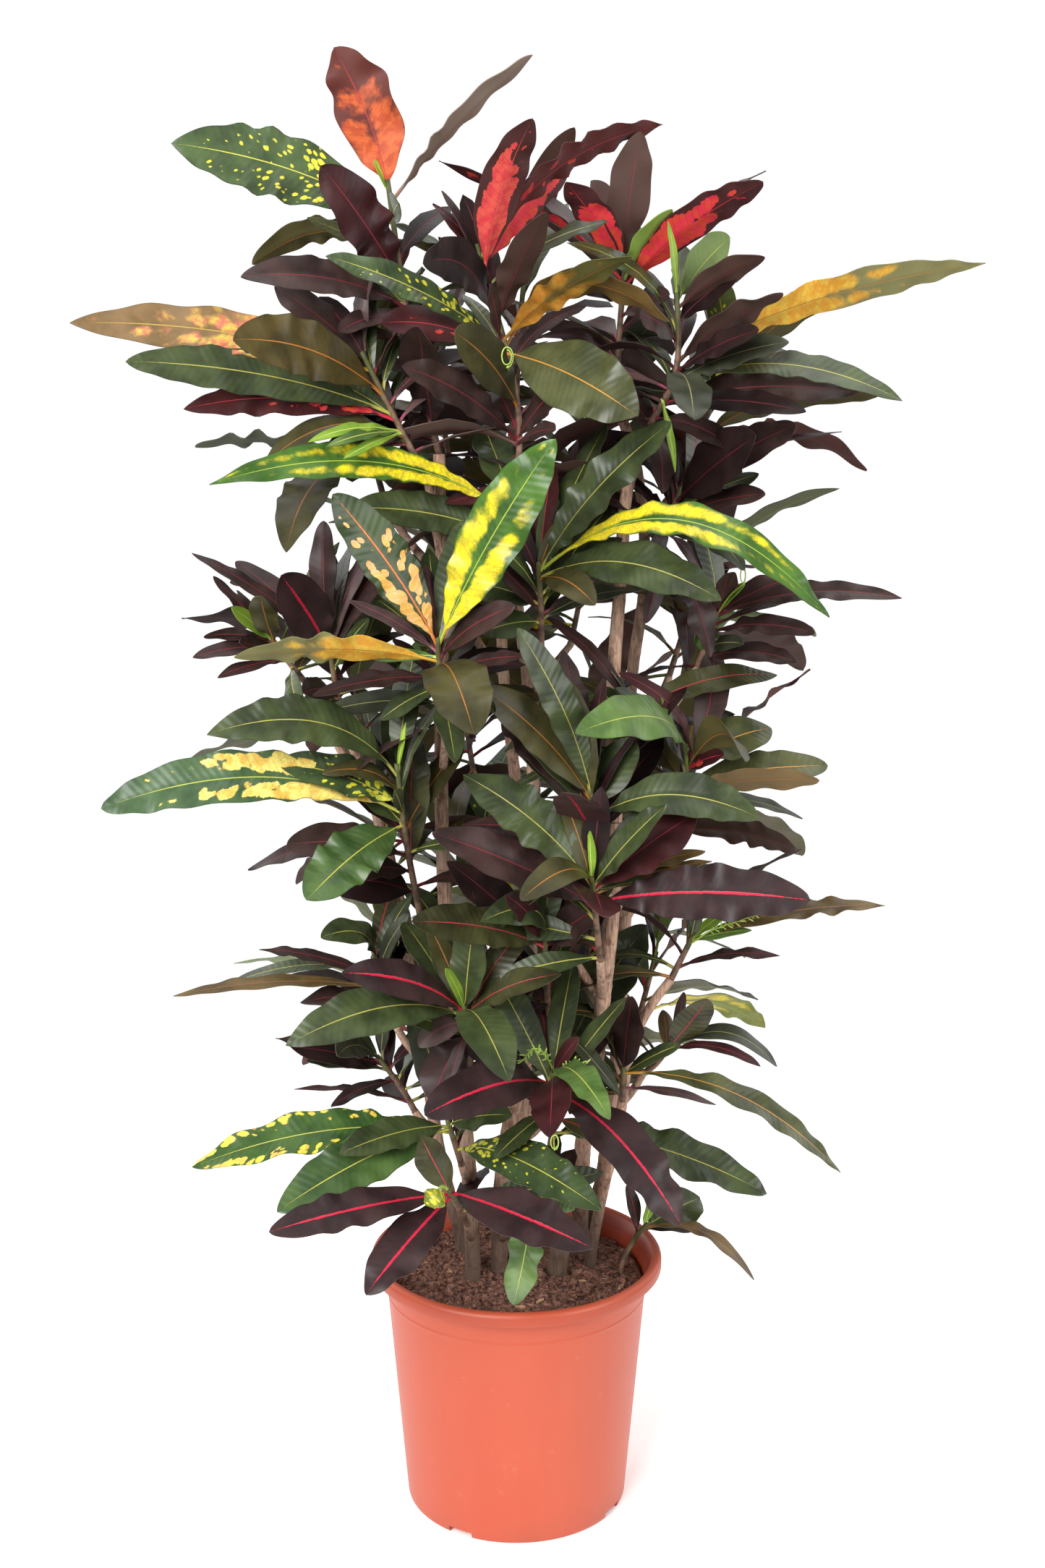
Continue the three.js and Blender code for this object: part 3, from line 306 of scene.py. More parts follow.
LAMPS_AIM = Vector((0, 0, 0.7))


def soft_lamp(name, place, size, power):
    """A square area lamp at a place in metres, turned to the middle of the plant."""
    data = bpy.data.lights.new(name, "AREA")
    data.size = size
    data.energy = power
    lamp = bpy.data.objects.new(name, data)
    lamp.location = place
    lamp.rotation_euler = (Vector(place) - LAMPS_AIM).to_track_quat("Z", "Y").to_euler()
    bpy.context.scene.collection.objects.link(lamp)


soft_lamp("key_softbox", (-1.5, -2.5, 2.0), 2.1, 160)
soft_lamp("fill_softbox", (2.5, -1.7, 1.4), 2.0, 62)
soft_lamp("top_softbox", (0.2, 0.7, 3.1), 2.6, 56)
soft_lamp("back_softbox_left", (-2.3, 1.9, 1.5), 2.4, 28)
soft_lamp("back_softbox_right", (2.4, 1.7, 1.3), 2.4, 24)

SURROUND_LIGHT, SURROUND_SEEN = 0.36, 1.02
world = bpy.data.worlds.new("studio")
world.use_nodes = True
surround = world.node_tree.nodes["Background"]
surround.inputs["Color"].default_value = (1, 1, 1, 1)
ray = world.node_tree.nodes.new("ShaderNodeLightPath")
strength = world.node_tree.nodes.new("ShaderNodeMapRange")
strength.inputs["To Min"].default_value = SURROUND_LIGHT
strength.inputs["To Max"].default_value = SURROUND_SEEN
world.node_tree.links.new(ray.outputs["Is Camera Ray"], strength.inputs["Value"])
world.node_tree.links.new(strength.outputs[0], surround.inputs["Strength"])
bpy.context.scene.world = world
bpy.context.scene.view_settings.view_transform = "Standard"

FLOOR_SOLID, FLOOR_ENDS = 0.45, 1.3
floor_bm = bmesh.new()
bmesh.ops.create_grid(floor_bm, x_segments=1, y_segments=1, size=6)
paper = Finish("floor_paper")
reach = paper.node("ShaderNodeVectorMath", {0: paper.place()}, operation="LENGTH").outputs["Value"]
paper_finish = paper.set(
    Base_Color="#fdfaf9", Roughness=0.9, Emission_Color=(1, 1, 1, 1), Emission_Strength=0.12,
    Alpha=paper.ramp(reach, FLOOR_ENDS, FLOOR_SOLID))
object_from("floor", floor_bm, [paper_finish])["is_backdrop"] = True
print("camera lens", round(camera_data.lens, 1), "mm")

# %% [markdown]
# ## The pot
# The pot is blown or moulded in one orange plastic: a thin tapering wall, a rolled rim, one raised
# line under the rim, and a foot with a drainage channel. A turned shape is one profile spun round an
# axis, so only half a section is drawn, from the middle of the underside, round the outside and back
# over the rim to the middle of the inside. Drain holes and foot notches are then cut by a Boolean.

# %% The pot's section and its cuts
POT_HEIGHT, RIM_RADIUS, BASE_RADIUS = 240, 135, 102.5
WALL_TOP_RADIUS, WALL_TOP_HEIGHT, WALL_THICKNESS = 121.8, 227, 2
FLOOR_THICKNESS, CHANNEL_RADIUS, CHANNEL_HALF_WIDTH, CHANNEL_HEIGHT = 2.2, 79, 7, 6
DRAIN_HOLES, DRAIN_RADIUS = 6, 5
FOOT_NOTCHES, NOTCH_WIDTH, NOTCH_HEIGHT, NOTCH_TURN = 4, 24, 6, -120
POT_STEPS = 144


def wall_radius(height):
    """The outer radius of the tapered wall at a height."""
    return BASE_RADIUS + (WALL_TOP_RADIUS - BASE_RADIUS) * height / WALL_TOP_HEIGHT


def spun(profile, steps):
    """A closed turned shape from (radius, height) points, spun once round the upright axis."""
    bm = bmesh.new()
    verts = [bm.verts.new((radius, 0, height)) for radius, height in profile]
    edges = [bm.edges.new(pair) for pair in zip(verts, verts[1:])]
    bmesh.ops.spin(bm, geom=verts + edges, cent=(0, 0, 0), axis=(0, 0, 1), angle=math.tau,
                   steps=steps, use_merge=True)
    bmesh.ops.remove_doubles(bm, verts=bm.verts, dist=0.001)
    bmesh.ops.recalc_face_normals(bm, faces=bm.faces)
    dress(bm.faces, 0)
    return bm


channel_in, channel_out = CHANNEL_RADIUS - CHANNEL_HALF_WIDTH, CHANNEL_RADIUS + CHANNEL_HALF_WIDTH
LINE_HEIGHT, LINE_RISE = 204, 0.5
ROLL_RADIUS = 5
raised_line = [(wall_radius(LINE_HEIGHT + up) + out, LINE_HEIGHT + up)
               for up, out in ((-2.6, 0), (-1.4, 0), (-0.6, LINE_RISE), (0.6, LINE_RISE), (1.6, 0), (2.8, 0),
                               (15, 0))]
rim_roll = [(RIM_RADIUS - ROLL_RADIUS + (ROLL_RADIUS - 0.1) * math.sin(math.radians(turn)),
             POT_HEIGHT - ROLL_RADIUS + ROLL_RADIUS * math.cos(math.radians(turn)))
            for turn in range(90, -31, -20)]
pot_section = [
    (0, 0), (channel_in - 2, 0), (channel_in, CHANNEL_HEIGHT), (channel_out, CHANNEL_HEIGHT),
    (channel_out + 2, 0), (BASE_RADIUS - 3, 0), (BASE_RADIUS - 1.2, 0.4), (BASE_RADIUS - 0.3, 1.4),
    (wall_radius(3) - 0.05, 3), (wall_radius(NOTCH_HEIGHT + 2), NOTCH_HEIGHT + 2),
    (wall_radius(60), 60), (wall_radius(130), 130), *raised_line,
    (WALL_TOP_RADIUS - 0.3, WALL_TOP_HEIGHT - 2), (WALL_TOP_RADIUS + 0.5, WALL_TOP_HEIGHT - 0.5),
    (WALL_TOP_RADIUS + 2, WALL_TOP_HEIGHT), (RIM_RADIUS - 2.6, WALL_TOP_HEIGHT + 0.1),
    (RIM_RADIUS - 1, WALL_TOP_HEIGHT + 0.2), (RIM_RADIUS - 0.35, WALL_TOP_HEIGHT + 0.6),
    (RIM_RADIUS - 0.1, WALL_TOP_HEIGHT + 1.4), (RIM_RADIUS - 0.1, WALL_TOP_HEIGHT + 3.5), *rim_roll,
    (RIM_RADIUS - 9, POT_HEIGHT - 2), (WALL_TOP_RADIUS + 1.6, POT_HEIGHT - 6),
    (WALL_TOP_RADIUS - 0.6, WALL_TOP_HEIGHT + 1), (WALL_TOP_RADIUS - WALL_THICKNESS, WALL_TOP_HEIGHT - 4),
    (wall_radius(120) - WALL_THICKNESS, 120),
    (BASE_RADIUS - WALL_THICKNESS, CHANNEL_HEIGHT + FLOOR_THICKNESS),
    (channel_in - 1, CHANNEL_HEIGHT + FLOOR_THICKNESS), (channel_in - 3, FLOOR_THICKNESS),
    (0, FLOOR_THICKNESS),
]


def pot_cutters():
    """One mesh of all that is cut from the foot: drain holes through the channel, and notches."""
    bm = bmesh.new()
    for hole in range(DRAIN_HOLES):
        turn = math.tau * hole / DRAIN_HOLES
        at = Matrix.Translation((CHANNEL_RADIUS * math.cos(turn), CHANNEL_RADIUS * math.sin(turn),
                                 CHANNEL_HEIGHT + 1))
        bmesh.ops.create_cone(bm, cap_ends=True, segments=24, radius1=DRAIN_RADIUS,
                              radius2=DRAIN_RADIUS, depth=12, matrix=at)
    reach = BASE_RADIUS - CHANNEL_RADIUS + 8
    for notch in range(FOOT_NOTCHES):
        turn = Matrix.Rotation(math.radians(NOTCH_TURN + 360 * notch / FOOT_NOTCHES), 4, "Z")
        at = Matrix.Translation((CHANNEL_RADIUS + reach / 2, 0, NOTCH_HEIGHT / 2 - 2))
        size = Matrix.Diagonal((reach, NOTCH_WIDTH, NOTCH_HEIGHT + 4, 1))
        bmesh.ops.create_cube(bm, size=1, matrix=turn @ at @ size)
    return bm


pot_bm = spun(pot_section, POT_STEPS)
print("pot blank:", len(pot_bm.faces), "faces")

# %% [markdown]
# The plastic is an even orange with a soft satin gloss. A real pot is never one flat colour: the
# moulding leaves very faint upright streaks, and handling leaves paler scuffs and a little soil dust
# near the foot. The outer band of the rim is darker, as painted shade. Those go into the colour and
# the roughness, not into the shape.

# %% The pot's plastic
plastic = Finish("pot_plastic")
height = plastic.height()
streaks = plastic.noise(plastic.stretched(26, 1.5), 1.0, 3)
cloud = plastic.noise(plastic.place(), 9, 3)
scuffs = plastic.ramp(plastic.noise(plastic.place(), 60, 4, 0.7), 0.63, 0.72)
dust = plastic.times(plastic.ramp(height, 0.035, 0.0), plastic.ramp(cloud, 0.35, 0.7))
colour = plastic.mix(cloud, "#aa4127", "#b24b30")
colour = plastic.mix(plastic.times(streaks, 0.35), colour, "#ba5d40")
colour = plastic.mix(plastic.times(scuffs, 0.16), colour, "#cb876d")
colour = plastic.mix(plastic.times(dust, 0.4), colour, "#8f4b35")
# Painted shade: the band of the rim is darkened towards a deep red.
rim_painted_shade = plastic.times(plastic.ramp(height, 0.226, 0.228), plastic.ramp(height, 0.239, 0.235))
colour = plastic.mix(plastic.times(rim_painted_shade, 0.4), colour, "#8c311c")
gloss = plastic.plus(plastic.times(scuffs, 0.14), plastic.times(cloud, 0.12))
plastic.bump(streaks, 0.0003, 0.4)
pot_finish = plastic.set(Base_Color=colour, Roughness=plastic.plus(gloss, 0.36))

pot = finished_piece("nursery_pot", pot_bm, [pot_finish], "pot_plastic", ["pot"])
cutter_bm = pot_cutters()
bmesh.ops.scale(cutter_bm, vec=(MM, MM, MM), verts=cutter_bm.verts)
cutter = object_from("pot_cutters", cutter_bm)
cut = pot.modifiers.new("cuts", "BOOLEAN")
cut.operation, cut.object, cut.solver = "DIFFERENCE", cutter, "EXACT"
bpy.context.view_layer.update()
cut_mesh = bpy.data.meshes.new_from_object(pot.evaluated_get(bpy.context.evaluated_depsgraph_get()))
pot.modifiers.clear()
pot.data = cut_mesh
bpy.data.objects.remove(cutter)
edges_bm = bmesh.new()
edges_bm.from_mesh(cut_mesh)
hard_edges(edges_bm, 38)
edges_bm.to_mesh(cut_mesh)
edges_bm.free()
print("pot:", len(pot.data.polygons), "faces")

# %% [markdown]
# ## The peat
# Peat fills the pot up to about 13 mm below the rim and rises a little round the stems. The body is
# a spun section whose upper side is roughened with noise. What makes it read as peat is loose matter
# of several sizes lying on it: crumbs, flakes of bark and a few pale straw chips. Each crumb is an
# icosphere of 20 faces, squashed and turned at random, because there are hundreds of them.

# %% The peat body and its loose crumbs
SOIL_EDGE_HEIGHT, SOIL_MOUND_HEIGHT = 217, 226
SOIL_TOP_RADIUS = WALL_TOP_RADIUS - WALL_THICKNESS - 2.4
PEAT_RINGS, CRUMB_ROUGHNESS = 34, 0.25
STEM_FEET = [(60, 38, 9), (72, 62, 7.5), (-16, -8, 8.5), (-40, -24, 8), (-52, 36, 7), (4, 62, 7.5),
             (70, 6, 6), (38, -14, 10), (98, -6, 4)]


def peat_height(x, y):
    """The level of the peat, higher in the middle and lumpy at two scales."""
    reach = min(1, math.hypot(x, y) / SOIL_TOP_RADIUS)
    level = SOIL_MOUND_HEIGHT - (SOIL_MOUND_HEIGHT - SOIL_EDGE_HEIGHT) * reach ** 1.6
    lumps = 3.2 * noise.noise(Vector((x / 26, y / 26, 0))) + 1.7 * noise.noise(Vector((x / 8, y / 8, 4)))
    return level + (lumps - 1.2) * (1 - reach ** 6)


peat_floor = CHANNEL_HEIGHT + FLOOR_THICKNESS + 0.3
peat_rings = [(SOIL_TOP_RADIUS * k / PEAT_RINGS, SOIL_MOUND_HEIGHT) for k in range(PEAT_RINGS - 1, -1, -1)]
peat_bm = spun([(0, peat_floor), (BASE_RADIUS - 4.1, peat_floor), (SOIL_TOP_RADIUS, SOIL_EDGE_HEIGHT - 4),
                *peat_rings], 96)
for vert in peat_bm.verts:
    if vert.co.z > SOIL_EDGE_HEIGHT - 2:
        vert.co.z = peat_height(vert.co.x, vert.co.y)


def scattered(bm, count, sizes, squash, slot, draw):
    """Crumbs on the peat: small icospheres, squashed, turned and half sunk, clear of the stems."""
    placed = 0
    while placed < count:
        reach, turn = SOIL_TOP_RADIUS * 0.97 * math.sqrt(next(draw)), math.tau * next(draw)
        x, y = reach * math.cos(turn), reach * math.sin(turn)
        size = sizes[0] + (sizes[1] - sizes[0]) * next(draw) ** 2
        if any(math.hypot(x - fx, y - fy) < radius + size for fx, fy, radius in STEM_FEET):
            continue
        if reach + size > SOIL_TOP_RADIUS:
            continue
        at = Matrix.Translation((x, y, peat_height(x, y) + size * 0.25))
        spin = Matrix.Rotation(math.tau * next(draw), 4, "Z")
        spin = spin @ Matrix.Rotation((next(draw) - 0.5) * 0.9, 4, "X")
        shape = Matrix.Diagonal((size, size * squash[0], size * squash[1], 1))
        middle = Vector((x, y, peat_height(x, y)))
        for vert in tiny_ball(bm, at @ spin @ shape, slot):
            vert.co += (next(draw) - 0.5) * CRUMB_ROUGHNESS * size * (vert.co - middle).normalized()
        placed += 1


peat_draw = draws_from(5)
CRUMB, FLAKE, FIBRE = 0, 1, 2
for count, sizes, squash, kind in [
        (1500, (1.0, 3.4), (0.8, 0.6), CRUMB), (150, (3.0, 9.5), (0.85, 0.65), CRUMB),
        (240, (1.6, 6.0), (0.4, 0.24), FLAKE), (260, (1.6, 5.0), (0.09, 0.09), FIBRE),
        (12, (4.5, 8.0), (0.4, 0.2), FIBRE)]:
    scattered(peat_bm, count, sizes, squash, kind, peat_draw)
print("peat:", len(peat_bm.faces), "faces")

# %% [markdown]
# Moist peat is a dark red-brown. Its hollows are painted near-black as shade, from a steep noise that
# also drives the bump, so that dark and deep agree. Bark flakes are greyer, straw is pale yellow.

# %% Peat, bark flakes and straw


def earthy(name, dark, light, scale, depth):
    """A dull crumbly finish between two colours, painted dark where it is deep, as shade."""
    earth = Finish(name)
    place = earth.place()
    coarse, fine = earth.noise(place, scale, 6, 0.65), earth.noise(place, scale * 4.5, 3, 0.6)
    # Painted shade: the low parts of the bump take the dark colour, the raised parts the pale one.
    blend = earth.ramp(earth.plus(earth.times(coarse, 0.65), earth.times(fine, 0.35)), 0.36, 0.66)
    earth.bump(blend, depth, 0.9)
    return earth.set(Base_Color=earth.mix(blend, dark, light), Roughness=0.95)


peat_finishes = [earthy("peat_crumb", "#2f1610", "#cb917a", 170, 0.003),
                 earthy("bark_flake", "#4a2a20", "#b0775c", 260, 0.001),
                 earthy("peat_fibre", "#8a6246", "#d9b08c", 300, 0.0006)]
finished_piece("peat", peat_bm, peat_finishes, "peat", ["soil"])
print("peat finishes:", [finish.name for finish in peat_finishes])

# %% [markdown]
# ## The woody stems
# Croton wood is tan to grey, fairly smooth, and ringed with the scars of fallen leaves. Each stem
# follows the same points as its solid, listed as they are seen from the camera: across, up, and how
# near. A smooth curve is drawn through them and a circle is carried along it. The radius swells a
# little at every scar. Side branches start inside their stem and end at their leafy shoot.

# %% Where the stems stand
SOIL_LEVEL = 217
ROOT_DEPTH = 40
BRANCH_RADIUS, STEM_RADIUS = 4.2, 3.0


def seen(across, up, near):
    """The point seen at (across, up) on the upright plane through the pot, that much nearer the eye."""
    on_plane = Vector((across, 0, up))
    return EYE + (on_plane - EYE) * (1 + near / EYE.y)


TRUNKS = [
    {"foot": [60, 38], "radii": [8.5, 5],
     "path": [[59, 290, -26], [62, 350, -6], [73, 430, 34], [80, 500, 52],
               [86, 565, 56], [88, 650, 46], [85, 760, 40], [91, 865, 30], [95, 935, 16], [107, 984, 12]]},
    {"foot": [72, 62], "radii": [7, 4.5],
     "path": [[82, 330, -56], [93, 450, -62], [99, 600, -56], [101, 765, -36],
               [112, 868, -18], [104, 960, -26], [85, 1016, -25]]},
    {"foot": [-16, -8], "radii": [8, 5],
     "path": [[-12, 320, 12], [5, 430, 22], [12, 520, 22], [16, 640, 16],
               [12, 760, 12], [0, 850, 22], [-5, 888, 32]]},
    {"foot": [-40, -24], "radii": [7.5, 5],
     "path": [[-44, 320, 24], [-52, 420, 28], [-62, 540, 28], [-66, 640, 30],
               [-66, 740, 38], [-64, 850, 40], [-66, 970, 32]]},
    {"foot": [-52, 36], "radii": [6.5, 4.5],
     "path": [[-70, 330, -36], [-85, 440, -38], [-105, 560, -32],
               [-125, 660, -20], [-150, 731, 12]]},
    {"foot": [4, 62], "radii": [7, 4.5],
     "path": [[2, 340, -84], [12, 480, -96], [4, 640, -110], [-12, 800, -120],
               [-8, 930, -116], [0, 1018, -112]]},
    {"foot": [70, 6], "radii": [5.5, 4],
     "path": [[82, 306, 8], [92, 345, 18], [99, 400, 24], [105, 440, 28],
               [121, 475, 30], [139.5, 501, 30]]},
]
PRUNED_STUB = {"trunk": 1, "fork": 496, "end": (52, 520, 50), "radius": 4}
STUMP = {"foot": (38, -14), "height": 22, "radius": 9.5, "lean": (3, -2)}


def trunk_points(trunk):
    """The points of a trunk in space, from its root in the peat to its tip."""
    x, y = trunk["foot"]
    foot = Vector((x, y, SOIL_LEVEL - ROOT_DEPTH))
    return [foot, Vector((x, y, SOIL_MOUND_HEIGHT + 6)), *[seen(*point) for point in trunk["path"]]]


def point_at_height(points, height):
    """The point of a rising path at a height."""
    for low, high in zip(points, points[1:]):
        if high.z > height:
            return low.lerp(high, (height - low.z) / (high.z - low.z))
    return points[-1]


print(len(TRUNKS), "stems, the tallest to", round(max(seen(*t["path"][-1]).z for t in TRUNKS)), "mm")

# %% [markdown]
# ## The leafy shoots, as they are seen
# Every row gives a shoot's name, the number of its trunk, the height of its fork, and the points of
# its stem. The front shoots are read off the photo. Each of their leaves is given by the share of the
# stem where it grows, where its tip is seen, how near that tip is, its width, how far it arches as a
# share of its length, how much of its upper side (1) or underside (-1) shows, and its colouring.

# %% The front shoots


def shoot_row(name, trunk, fork, *stem, **more):
    """A shoot's values. Without the height of a fork it is the one that its trunk ends in."""
    branching = {"fork": fork} if fork else {}
    return {"name": "shoot_" + name, "trunk": trunk, "stem": stem, **branching, **more}


